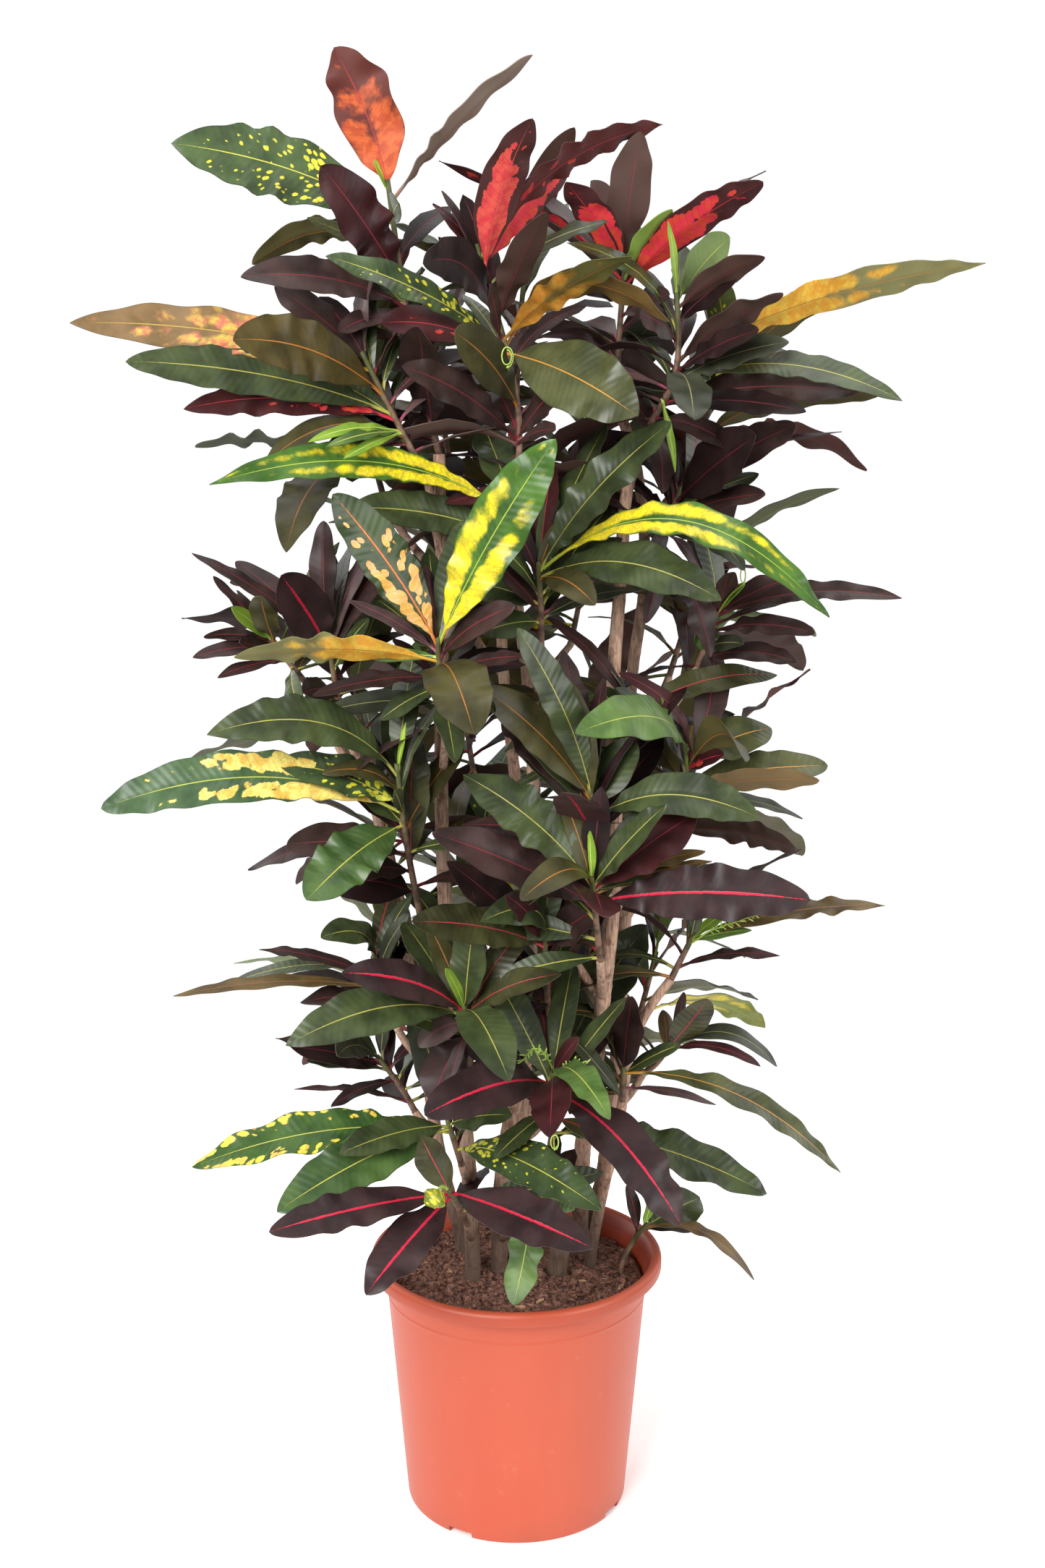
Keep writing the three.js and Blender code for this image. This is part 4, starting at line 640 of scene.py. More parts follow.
FRONT_SHOOTS = [
    shoot_row("top_left", 4, None, (-66, 972, 32), (-92, 1090, 38), (-106, 1190, 36), leaves=[
        (0.98, -150, 1304, 36, 58, 0.05, -0.9, "ember"),
        (0.88, -287, 1228, 62, 62, 0.06, 0.85, "freckled"),
        (0.6, -163, 1210, 98, 48, 0.04, 0.85, "maroon"), (0.95, 14, 1298, 8, 40, 0.03, -0.3, "dusky"),
        (0.72, -222, 1130, 16, 32, 0.2, -0.6, "olive"), (0.7, -175, 1168, 52, 22, 0.04, -0.5, "bottle"),
        (0.66, -142, 1166, 8, 30, 0.05, -0.7, "plum"), (0.52, -232, 1120, 112, 38, 0.08, 0.75, "plum"),
        (0.08, -82, 1078, 68, 48, 0.05, 0.75, "black")]),
    shoot_row("left", 4, 890, (-76, 950, 52), (-102, 1000, 62), (-128, 1052, 66), leaves=[
        (0.95, -204, 1112, 58, 42, 0.05, 0.6, "plum"), (0.9, -378, 1082, 62, 46, 0.05, 0.8, "blush"),
        (0.55, -332, 1050, 102, 42, 0.05, 0.85, "bottle"), (0.7, -240, 1068, 135, 50, 0.1, 0.9, "bronze"),
        (0.5, -284, 1010, 76, 36, 0.08, 0.8, "wine"), (0.35, -218, 961, 92, 28, 0.18, 0.6, "olive"),
        (0.3, -224, 952, 22, 26, 0.06, 0.5, "plum")]),
    shoot_row("top", 3, None, (-5, 890, 32), (2, 1010, 44), (-30, 1136, 44), leaves=[
        (0.94, 14, 1248, 62, 42, 0.06, -0.85, "coral"), (0.98, 122, 1243, 18, 36, 0.12, -0.5, "wine"),
        (0.96, 52, 1218, -6, 32, 0.05, -0.8, "crimson"), (0.9, 77, 1165, 78, 22, 0.08, 0.5, "slate"),
        (0.78, 25, 1173, 84, 34, 0.04, -0.8, "plum"), (0.77, -78, 1131, 74, 40, 0.2, 0.75, "black"),
        (0.72, 98, 1137, 122, 32, 0.06, -0.75, "rust"), (0.69, 130, 1083, 100, 38, 0.3, -0.6, "bronze"),
        (0.685, 104, 1004, 152, 62, 0.05, 0.95, "sage"),
        (0.715, -160, 1137, 126, 30, 0.05, 0.7, "freckled"), (0.66, -114, 1082, 98, 40, 0.1, 0.6, "wine"),
        (0.39, -97, 1046, 112, 34, 0.06, 0.8, "plum"), (0.5, -52, 1074, 120, 42, 0.08, 0.85, "olive"),
        (0.385, 52, 1040, 98, 28, 0.06, 0.7, "plum"), (0.12, -264, 946, 96, 36, 0.12, 0.8, "gold"),
        (0.03, -142, 926, 64, 38, 0.06, 0.85, "bottle"), (0.16, -28, 997, 2, 40, 0.03, 0.8, "bottle")]),
    shoot_row("top_right", 2, None, (85, 1018, -25), (88, 1075, -25), (92, 1132, -25), leaves=[
        (0.86, -64, 1214, 20, 24, 0.05, -0.5, "crimson"), (0.84, -3, 1200, -34, 24, 0.06, 0.5, "plum"),
        (0.95, 104, 1238, -22, 40, 0.03, -0.9, "plum"), (0.9, 63, 1198, -52, 36, 0.05, -0.8, "plum"),
        (0.95, 42, 1197, 8, 36, 0.04, -0.8, "crimson"), (0.86, 131, 1175, -10, 24, 0.05, -0.8, "lime"),
        (0.8, 207, 1197, 16, 38, 0.06, -0.8, "crimson"), (0.85, 209, 1206, -44, 20, 0.06, 0.4, "plum")]),
    shoot_row("right_top", 1, None, (108, 986, 12), (136, 1040, 16), (136, 1106, 10), leaves=[
        (0.95, 180, 1152, -32, 36, 0.06, -0.8, "bright"), (0.92, 138, 1142, -48, 26, 0.06, -0.6, "slate"),
        (0.9, 210, 1136, 22, 32, 0.06, -0.7, "plum"), (0.55, 226, 1106, 52, 34, 0.06, -0.6, "plum"),
        (0.58, 396, 1131, 18, 36, 0.05, -0.75, "amber"), (0.5, 206, 1076, 84, 28, 0.05, 0.6, "black"),
        (0.4, 232, 1066, 62, 34, 0.06, 0.6, "slate"), (0.4, 330, 1017, 82, 32, 0.12, 0.6, "bottle"),
        (0.25, 292, 1024, 40, 38, 0.06, 0.75, "plum"), (0.25, 248, 1008, 76, 30, 0.05, 0.6, "black"),
        (0.5, 152, 1002, 114, 38, 0.1, 0.85, "slate"), (0.12, 126, 938, 58, 30, 0.1, 0.6, "plum")]),
    shoot_row("right", 2, 850, (118, 884, 8), (130, 912, 12), (142, 942, 12), leaves=[
        (0.8, 206, 987, 64, 50, 0.04, 0.85, "black"), (0.95, 198, 993, -14, 38, 0.2, 0.6, "black"),
        (0.9, 240, 997, 22, 38, 0.04, 0.75, "plum"), (0.6, 209, 955, 34, 28, 0.05, 0.7, "bottle"),
        (0.55, 215, 938, 60, 28, 0.05, 0.6, "plum"), (0.35, 198, 872, 34, 28, 0.2, 0.7, "slate"),
        (0.4, 172, 833, -4, 20, 0.12, 0.6, "mauve"), (0.25, 170, 796, 16, 32, 0.08, 0.7, "plum"),
        (0.2, 150, 783, -20, 26, 0.08, 0.7, "plum"), (0.3, 113, 826, 30, 22, 0.1, 0.7, "plum")]),
    shoot_row("right_low", 2, 700, (158, 785, -5), (168, 812, 0), (177, 840, 0), leaves=[
        (0.92, 184, 870, 12, 28, 0.04, 0.7, "plum"), (0.9, 243, 867, -6, 28, 0.04, 0.8, "plum"),
        (0.85, 336, 848, 16, 26, 0.08, 0.6, "plum"), (0.6, 261, 817, 38, 26, 0.08, 0.6, "plum"),
        (0.15, 247, 791, 26, 28, 0.1, 0.6, "plum")]),
    shoot_row("fan_right", 1, 575, (122, 640, 34), (140, 672, 44), (156, 706, 52), leaves=[
        (0.95, 90, 782, 92, 22, 0.15, 0.5, "maroon"), (0.9, 225, 733, 18, 44, 0.1, 0.85, "sage"),
        (0.9, 203, 703, 62, 38, 0.28, -0.75, "olive"), (0.6, 276, 699, 28, 38, 0.05, 0.8, "sage"),
        (0.5, 269, 686, 50, 30, 0.05, -0.6, "brown"), (0.3, 255, 651, 16, 20, 0.12, 0.5, "slate"),
        (0.8, 88, 769, 118, 22, 0.08, 0.6, "slate"), (0.85, 52, 738, 130, 46, 0.2, 0.6, "bright"),
        (0.7, 98, 742, 70, 36, 0.08, -0.75, "olive")]),
    shoot_row("behind_fan", 1, 668, (99, 712, 62), (103, 730, 68), (105, 750, 70), leaves=[
        (0.9, 229, 780, 64, 32, 0.09, 0.75, "forest"), (0.6, 165, 735, 24, 20, 0.1, 0.6, "black")]),
    shoot_row("mid", 3, 740, (22, 796, 62), (22, 834, 74), (20, 873, 80), leaves=[
        (0.95, 133, 999, 112, 42, 0.06, 0.8, "bottle"), (0.97, 273, 831, 132, 38, 0.26, 0.75, "gold"),
        (0.9, 179, 846, 145, 46, 0.14, 0.8, "bottle"), (0.88, 69, 842, 160, 28, 0.12, 0.85, "olive"),
        (0.98, 32, 968, 22, 26, 0.04, 0.7, "maroon"), (0.96, 78, 998, 40, 30, 0.04, 0.7, "bottle"),
        (0.94, 54, 987, 8, 24, 0.04, 0.7, "plum"), (0.5, 92, 848, 22, 24, 0.06, 0.5, "mauve"),
        (0.6, -45, 862, 64, 36, 0.06, 0.8, "bottle"), (0.4, -32, 816, 92, 32, 0.08, 0.8, "bottle")]),
    shoot_row("yellow", 4, 690, (-62, 735, 92), (-66, 770, 108), (-68, 807, 122), leaves=[
        (0.98, 34, 985, 178, 52, 0.03, 0.95, "gold"), (0.96, -158, 938, 152, 46, 0.04, 0.9, "peach"),
        (0.8, -247, 796, 150, 32, 0.06, -0.65, "amber"), (0.75, -37, 727, 205, 54, 0.2, 0.95, "olive"),
        (0.6, -179, 762, 132, 28, 0.06, 0.5, "plum"), (0.4, -54, 702, 150, 30, 0.1, 0.75, "bottle"),
        (0.82, -1, 841, 156, 28, 0.08, 0.7, "plum"), (0.5, -18, 747, 176, 22, 0.06, 0.7, "peach"),
        (0.88, -120, 846, 62, 34, 0.05, 0.7, "bottle")]),
    shoot_row("left_small", 5, None, (-150, 733, 12), (-158, 768, 16), (-163, 806, 20), leaves=[
        (0.95, -281, 887, 16, 20, 0.05, 0.6, "plum"), (0.96, -243, 880, -8, 28, 0.04, 0.8, "plum"),
        (0.9, -204, 868, 56, 44, 0.03, 0.95, "ruby"), (0.97, -166, 915, 30, 28, 0.04, 0.8, "plum"),
        (0.86, -113, 912, 66, 24, 0.1, 0.6, "mauve"), (0.8, -146, 858, -14, 22, 0.05, 0.7, "plum"),
        (0.4, -187, 764, 52, 26, 0.08, 0.7, "plum"), (0.2, -186, 742, 30, 30, 0.1, -0.6, "brown")]),
    shoot_row("left_tip", 5, 660, (-178, 765, -8), (-196, 788, -2), (-214, 813, 4), leaves=[
        (0.9, -222, 850, 22, 28, 0.04, 0.85, "olive"), (0.9, -273, 814, 2, 20, 0.08, 0.5, "plum"),
        (0.8, -283, 796, 28, 20, 0.06, 0.6, "plum"), (0.6, -242, 809, 50, 20, 0.05, 0.6, "plum"),
        (0.5, -188, 742, 42, 22, 0.1, 0.7, "bottle")]),
    shoot_row("mid_left", 4, 530, (-86, 560, 62), (-98, 630, 95), (-105, 694, 106), leaves=[
        (0.95, -273, 727, 152, 46, 0.2, 0.8, "bottle"), (0.7, -369, 660, 142, 50, 0.13, 0.85, "butter"),
        (0.75, -213, 702, 92, 40, 0.08, 0.8, "freckled"), (0.82, -172, 692, 66, 22, 0.2, 0.6, "olive"),
        (0.6, -149, 691, 132, 30, 0.06, 0.8, "bottle"), (0.62, -188, 576, 192, 50, 0.06, 0.9, "grass"),
        (0.4, -205, 627, 98, 40, 0.08, 0.75, "plum"), (0.15, -167, 592, 88, 50, 0.1, 0.75, "black"),
        (0.3, -152, 601, 128, 30, 0.08, 0.7, "plum"), (0.32, -90, 733, 134, 38, 0.04, 0.85, "forest"),
        (0.7, -122, 681, 62, 20, 0.06, 0.6, "plum")]),
    shoot_row("mid_front", 1, 588, (76, 600, 112), (72, 636, 124), (66, 673, 132), leaves=[
        (0.95, 1, 822, 168, 34, 0.05, 0.85, "bottle"), (0.9, -29, 769, 182, 38, 0.06, 0.85, "olive"),
        (0.8, 104, 724, 112, 38, 0.04, 0.85, "bottle"), (0.7, 216, 652, 165, 42, 0.16, 0.85, "bottle"),
        (0.3, 44, 675, 180, 42, 0.05, -0.85, "ruby"), (0.5, 113, 692, 84, 28, 0.05, 0.7, "plum"),
        (0.92, -12, 741, 98, 44, 0.05, 0.75, "plum"), (0.94, 42, 802, 84, 36, 0.05, 0.75, "plum"),
        (0.97, 82, 834, 62, 42, 0.05, 0.8, "bottle")]),
    shoot_row("low_front", 1, 500, (76, 518, 112), (72, 556, 142), (68, 592, 170), leaves=[
        (0.95, -47, 691, 222, 48, 0.12, 0.85, "bottle"), (0.93, 134, 664, 196, 28, 0.05, 0.75, "bottle"),
        (0.9, 162, 657, 150, 50, 0.05, 0.8, "maroon"), (0.75, 264, 576, 220, 50, 0.06, 0.9, "ruby"),
        (0.7, -75, 638, 222, 42, 0.04, 0.85, "plum"), (0.97, 4, 576, 230, 28, 0.25, 0.8, "olive"),
        (0.8, 78, 561, 262, 42, 0.1, 0.6, "maroon"), (0.7, 215, 601, 92, 26, 0.1, 0.6, "slate")]),
    shoot_row("low_centre", 3, 420, (30, 455, 62), (28, 495, 84), (26, 536, 106), leaves=[
        (0.95, -94, 556, 175, 38, 0.06, 0.85, "forest"), (0.92, -32, 556, 152, 32, 0.3, 0.8, "bottle"),
        (0.97, -10, 581, 196, 28, 0.06, 0.8, "maroon"), (0.95, 76, 569, 142, 36, 0.05, 0.8, "plum"),
        (0.9, -62, 612, 92, 42, 0.05, 0.8, "black"), (0.94, 4, 652, 92, 38, 0.04, 0.8, "bottle"),
        (0.1, 95, 391, 152, 22, 0.08, 0.6, "slate")]),
    shoot_row("low_left", 4, 388, (-40, 405, 82), (-44, 440, 104), (-47, 472, 126), leaves=[
        (0.95, -158, 508, 195, 36, 0.1, 0.8, "ruby"), (0.9, -210, 439, 202, 46, 0.16, 0.85, "bottle"),
        (0.95, -37, 562, 128, 36, 0.04, 0.85, "bottle"), (0.93, -68, 558, 92, 40, 0.04, 0.8, "bottle"),
        (0.9, -101, 556, 58, 36, 0.05, 0.7, "bottle"), (0.7, -77, 384, 134, 46, 0.1, 0.85, "plum"),
        (0.8, -89, 438, 192, 32, 0.2, 0.7, "mauve"), (0.97, -6, 404, 222, 44, 0.22, 0.9, "bottle"),
        (0.9, 41, 507, 158, 32, 0.12, 0.7, "forest")]),
    shoot_row("left_low", 5, 410, (-108, 455, 0), (-118, 486, 10), (-128, 519, 20), leaves=[
        (0.95, -176, 541, 32, 32, 0.32, 0.6, "bottle"), (0.93, -110, 550, 0, 38, 0.05, -0.8, "slate"),
        (0.6, -311, 486, 42, 22, 0.06, 0.5, "brown"), (0.85, -266, 494, 6, 22, 0.1, 0.5, "bottle"),
        (0.5, -203, 507, -20, 24, 0.06, 0.6, "plum"), (0.45, -196, 480, 8, 26, 0.06, 0.7, "plum")]),
    shoot_row("left_dark", 5, 340, (-92, 374, -30), (-106, 400, -22), (-124, 425, -14), leaves=[
        (0.9, -206, 438, 14, 36, 0.03, 0.7, "black"), (0.8, -192, 424, 34, 20, 0.05, 0.6, "slate"),
        (0.92, -163, 429, 54, 28, 0.15, 0.7, "slate"), (0.98, -166, 468, -4, 24, 0.05, 0.7, "bottle")]),
    shoot_row("low_node", 3, 312, (30, 332, 62), (34, 370, 96), (33, 409, 132), leaves=[
        (0.9, -84, 372, 215, 46, 0.13, 0.85, "ruby"), (0.93, 31, 350, 235, 40, 0.15, 0.85, "maroon"),
        (0.97, 86, 368, 222, 28, 0.15, 0.8, "bright"), (0.8, 153, 264, 214, 48, 0.19, 0.85, "ruby"),
        (0.3, 232, 295, 122, 42, 0.12, 0.8, "bottle")]),
    shoot_row("low_back", 3, 340, (34, 376, -16), (38, 400, -14), (42, 426, -10), leaves=[
        (0.9, 118, 553, -14, 56, 0.04, 0.9, "bottle"), (0.8, 22, 506, -6, 24, 0.05, 0.8, "bottle")]),
    shoot_row("low_right", 7, 352, (97, 384, 42), (98, 398, 48), (98, 414, 52), leaves=[
        (0.95, 299, 316, 92, 32, 0.15, 0.6, "sage"), (0.97, 105, 486, 58, 40, 0.04, 0.7, "plum")]),
    shoot_row("right_twig", 7, 392, (116, 412, 12), (128, 422, 12), (138, 436, 14), leaves=[
        (0.95, 174, 483, 42, 32, 0.03, 0.85, "forest"), (0.95, 238, 419, 4, 24, 0.25, 0.6, "slate")]),
    shoot_row("cut_branch", 7, None, (140, 502, 30), (148, 519, 30), (157, 538, 30), leaves=[
        (0.97, 331, 571, 42, 28, 0.06, 0.6, "brown")]),
    shoot_row("base_front", 4, 262, (-45, 264, 62), (-53, 280, 112), (-62, 298, 168), leaves=[
        (0.9, -230, 257, 214, 40, 0.1, 0.75, "ruby"), (0.86, -141, 194, 232, 44, 0.08, 0.9, "ruby"),
        (0.95, 71, 241, 240, 48, 0.12, 0.85, "ruby"), (0.9, -88, 352, 140, 36, 0.04, 0.8, "forest")]),
    shoot_row("base_left", 4, 318, (-50, 322, 56), (-56, 342, 74), (-62, 363, 92), leaves=[
        (0.9, -222, 277, 172, 52, 0.08, 0.9, "grass"), (0.95, -163, 334, 122, 36, 0.08, 0.8, "bottle"),
        (0.8, -299, 321, 102, 44, 0.12, 0.8, "dappled"), (0.4, 79, 279, 196, 44, 0.15, 0.85, "freckled"),
        (0.98, -4, 372, 128, 32, 0.08, 0.7, "bottle")]),
    shoot_row("base_centre", 3, 255, (-2, 262, 42), (6, 270, 66), (12, 280, 92), leaves=[
        (0.95, -3, 184, 172, 34, 0.15, 0.85, "bright"), (0.9, 54, 280, 150, 28, 0.1, 0.8, "bright")]),
    shoot_row("seedling", None, None, (108, 246, -4), (112, 254, -2), (119, 262, 0), foot=(98, -6), leaves=[
        (0.9, 222, 209, 44, 20, 0.2, 0.5, "brown"), (0.95, 170, 291, -32, 46, 0.05, 0.85, "bottle"),
        (0.85, 173, 261, 4, 20, 0.05, 0.6, "plum")]),
]
print(len(FRONT_SHOOTS), "front shoots with", sum(len(s["leaves"]) for s in FRONT_SHOOTS), "leaves")

# %% [markdown]
# The sides and the back aren't in the photo. There, each shoot has only its stem and a number of
# leaves. The leaves stand round the stem by the golden angle, as they do on the real plant, with
# seeded draws for length, arch and roll, and they mostly turn away from the middle of the plant.

# %% The side and back shoots
BACK_SHOOTS = [
    shoot_row("back_top", 6, None, (0, 112, 1012), (2, 118, 1060), (6, 122, 1112), count=7),
    shoot_row("back_high_left", 6, 900, (-62, 150, 960), (-70, 160, 1000), (-78, 168, 1042), count=5),
    shoot_row("back_high_right", 6, 880, (62, 160, 930), (72, 172, 968), (82, 182, 1004), count=6),
    shoot_row("side_high_right", 2, 905, (150, 62, 952), (164, 68, 986), (176, 74, 1022), count=5),
    shoot_row("side_high_left", 4, 870, (-118, 62, 930), (-128, 70, 968), (-136, 78, 1010), count=6),
    shoot_row("back_upper_left", 6, 760, (-52, 186, 812), (-58, 198, 846), (-62, 208, 882), count=5),
    shoot_row("back_upper_right", 6, 740, (52, 190, 780), (60, 204, 816), (66, 216, 852), count=6),
    shoot_row("side_upper_right", 2, 705, (140, 92, 762), (152, 102, 798), (162, 112, 832), count=5),
    shoot_row("side_upper_left", 5, 640, (-136, 72, 700), (-146, 84, 736), (-152, 94, 772), count=5),
    shoot_row("back_mid_left", 6, 600, (-42, 190, 652), (-48, 204, 688), (-52, 216, 722), count=5),
    shoot_row("back_mid_right", 6, 560, (52, 182, 612), (60, 196, 648), (66, 208, 682), count=6),
    shoot_row("side_mid_right", 2, 540, (130, 102, 582), (142, 114, 618), (152, 126, 652), count=5),
    shoot_row("side_mid_left", 5, 520, (-112, 102, 562), (-120, 114, 598), (-127, 126, 632), count=5),
    shoot_row("back_low_left", 6, 430, (-32, 162, 482), (-38, 176, 518), (-42, 188, 552), count=5),
    shoot_row("back_low_right", 6, 400, (62, 152, 442), (70, 166, 478), (76, 178, 512), count=5),
    shoot_row("side_low_right", 2, 380, (112, 82, 422), (122, 92, 456), (132, 102, 492), count=5),
    shoot_row("side_low_left", 5, 345, (-82, 92, 392), (-90, 106, 428), (-97, 118, 462), count=5),
    shoot_row("back_base", 6, 300, (12, 122, 332), (14, 136, 362), (16, 148, 394), count=5),
]
print(len(BACK_SHOOTS), "side and back shoots with", sum(s["count"] for s in BACK_SHOOTS), "leaves")

# %% [markdown]
# ## Bark
# Young croton bark is smooth and tan. It greys and cracks lengthwise with age, and every fallen leaf
# leaves a pale ring. The finish stretches one noise upward for the cracks and uses a second, rounder
# one for patches of grey cork. The rings are in the shape already, so the finish only weathers them,
# and darkens the bark near the peat with painted shade.

# %% The bark finish and the stems
bark = Finish("bark")
grain = bark.noise(bark.stretched(420, 60), 1.0, 4, 0.65)
rings = bark.noise(bark.stretched(12, 130), 1.0, 2, 0.5)
cork = bark.ramp(bark.noise(bark.place(), 38, 4, 0.6), 0.42, 0.68)
patches = bark.ramp(bark.noise(bark.place(), 95, 3, 0.6), 0.56, 0.66)
# Painted shade: the bark grows darker towards the peat.
foot_painted_shade = bark.ramp(bark.height(), 0.34, 0.23)
tone = bark.mix(bark.ramp(grain, 0.3, 0.7), "#8a6855", "#d3ac93")
tone = bark.mix(bark.times(cork, 0.6), tone, "#a08a79")
tone = bark.mix(bark.times(bark.ramp(rings, 0.6, 0.68), 0.3), tone, "#c9a98c")
tone = bark.mix(bark.times(patches, 0.6), tone, "#63412f")
tone = bark.mix(bark.times(foot_painted_shade, 0.85), tone, "#433429")
bark.bump(bark.plus(grain, bark.times(rings, 0.8)), 0.0012, 0.8)
bark_finish = bark.set(Base_Color=tone, Roughness=0.82)

SCAR_SPACING, SCAR_SWELL = 17, 0.045


def scarred(path, thick, thin, draw):
    """Radii along a stem that taper from thick to thin and swell at each leaf scar."""
    shift = next(draw) * SCAR_SPACING
    radii, run = [], 0
    for i, point in enumerate(path):
        run += (point - path[i - 1]).length if i else 0
        share = i / (len(path) - 1)
        swell = max(0, math.cos(math.tau * (run + shift) / SCAR_SPACING)) ** 6
        radii.append((thick + (thin - thick) * share) * (0.98 + SCAR_SWELL * swell + 0.05 * next(draw)))
    return radii


def shoot_stem(shoot):
    """The three points of a shoot's stem in space."""
    return [seen(*p) for p in shoot["stem"]] if "leaves" in shoot else [Vector(p) for p in shoot["stem"]]


for number, trunk in enumerate(TRUNKS, 1):
    draw = draws_from(100 + number)
    carried = [shoot for shoot in FRONT_SHOOTS + BACK_SHOOTS if shoot.get("trunk") == number]
    points = trunk_points(trunk)
    leader = next(shoot for shoot in carried if "fork" not in shoot)
    points[-1] = shoot_stem(leader)[0]
    path = smooth_path(points, 4)
    wood = bmesh.new()
    bar(wood, path, scarred(path, trunk["radii"][0], trunk["radii"][1], draw), 14, closed_start=True)
    for shoot in carried:
        if "fork" not in shoot:
            continue
        root, ahead = shoot_stem(shoot)[:2]
        fork = point_at_height(points, shoot["fork"])
        bend = fork.lerp(root, 0.6) - Vector((0, 0, (root - fork).length * 0.06))
        limb = smooth_path([fork, bend, root, root + (ahead - root).normalized() * 3], 4)
        bar(wood, limb, scarred(limb, BRANCH_RADIUS, STEM_RADIUS + 0.4, draw), 10)
    if PRUNED_STUB["trunk"] == number:
        stub = smooth_path([point_at_height(points, PRUNED_STUB["fork"]), seen(*PRUNED_STUB["end"])], 4)
        bar(wood, stub, scarred(stub, PRUNED_STUB["radius"], PRUNED_STUB["radius"], draw), 12)
    finished_piece(f"wood_{number}", wood, [bark_finish], "bark", [f"trunk_{number}"])

stump_bm = bmesh.new()
x, y = STUMP["foot"]
mouth = Vector((x, y, SOIL_MOUND_HEIGHT))
stump_path = smooth_path([Vector((x, y, SOIL_LEVEL - ROOT_DEPTH)), mouth,
                          mouth + Vector((*STUMP["lean"], STUMP["height"]))], 4)
bar(stump_bm, stump_path, scarred(stump_path, STUMP["radius"], STUMP["radius"] * 0.94, draws_from(3)), 18,
    closed_start=True)
finished_piece("old_stump", stump_bm, [bark_finish], "bark", ["stump"])

# %% [markdown]
# ## Leaf colourings
# One plant carries leaves that look painted by different hands: near-black plum with a crimson rib,
# bottle green with a yellow rib, green splashed or dotted with yellow, orange-red with dark blots.
# All of them share one anatomy, so one recipe makes them all, and a table gives each its colours.
# Each leaf's mesh carries its own measure: how far a spot is across and along in centimetres, and as
# a share of the blade. Side veins, blots and dots are drawn in those measures, so they follow the
# leaf however it bends.

# %% The recipe for a leaf's finish
VEIN_SPACING = 0.62
VEIN_SLANT = 0.5


def leaf_veins(leaf, across, along, away):
    """Where a spot lies along the slanted side veins, and how near it is to one."""
    slant = leaf.minus(along, leaf.times(away, VEIN_SLANT))
    side = leaf.times(leaf.maths("SIGN", across), 0.25)
    count = leaf.plus(leaf.maths("DIVIDE", slant, VEIN_SPACING), side)
    wave = leaf.maths("ABSOLUTE", leaf.minus(leaf.maths("FRACT", count), 0.5))
    return slant, leaf.ramp(wave, 0.0, 0.5), leaf.ramp(wave, 0.09, 0.0)


def leaf_splashes(leaf, across, slant, shift, out, share_along,
                  cover, fade, zone, zone_at, cells, blots, ragged, softness):
    """A mask of the coloured splashes: fullest near the base and between the rib and the margin."""
    spots = leaf.node("ShaderNodeTexVoronoi", {
        "Vector": leaf.vector(across, leaf.times(slant, 0.85), shift),
        "Scale": cells, "Randomness": 0.85}).outputs["Distance"]
    rough = leaf.noise(leaf.vector(leaf.times(across, 0.8), slant, shift), cells * 0.9, 4, 0.6)
    off = leaf.minus(out, zone_at)
    amount = leaf.minus(cover, leaf.times(leaf.times(off, off), 4 * zone))
    amount = leaf.plus(amount, leaf.times(leaf.minus(0.5, share_along), fade))
    amount = leaf.plus(amount, leaf.times(leaf.minus(rough, 0.5), ragged * 2))
    amount = leaf.minus(amount, leaf.times(spots, blots))
    return leaf.ramp(amount, -softness, softness)


def leaf_net(leaf, here):
    """A mask of the fine net of veins that stays green inside a yellow splash."""
    push = leaf.node("ShaderNodeTexNoise", {"Vector": here, "Scale": 2.0}).outputs["Color"]
    bent = leaf.node("ShaderNodeVectorMath", {0: here, 1: push}, operation="ADD").outputs[0]
    border = leaf.node("ShaderNodeTexVoronoi", {"Vector": bent, "Scale": 2.3}, feature="DISTANCE_TO_EDGE")
    return leaf.ramp(border.outputs["Distance"], 0.2, 0.0)


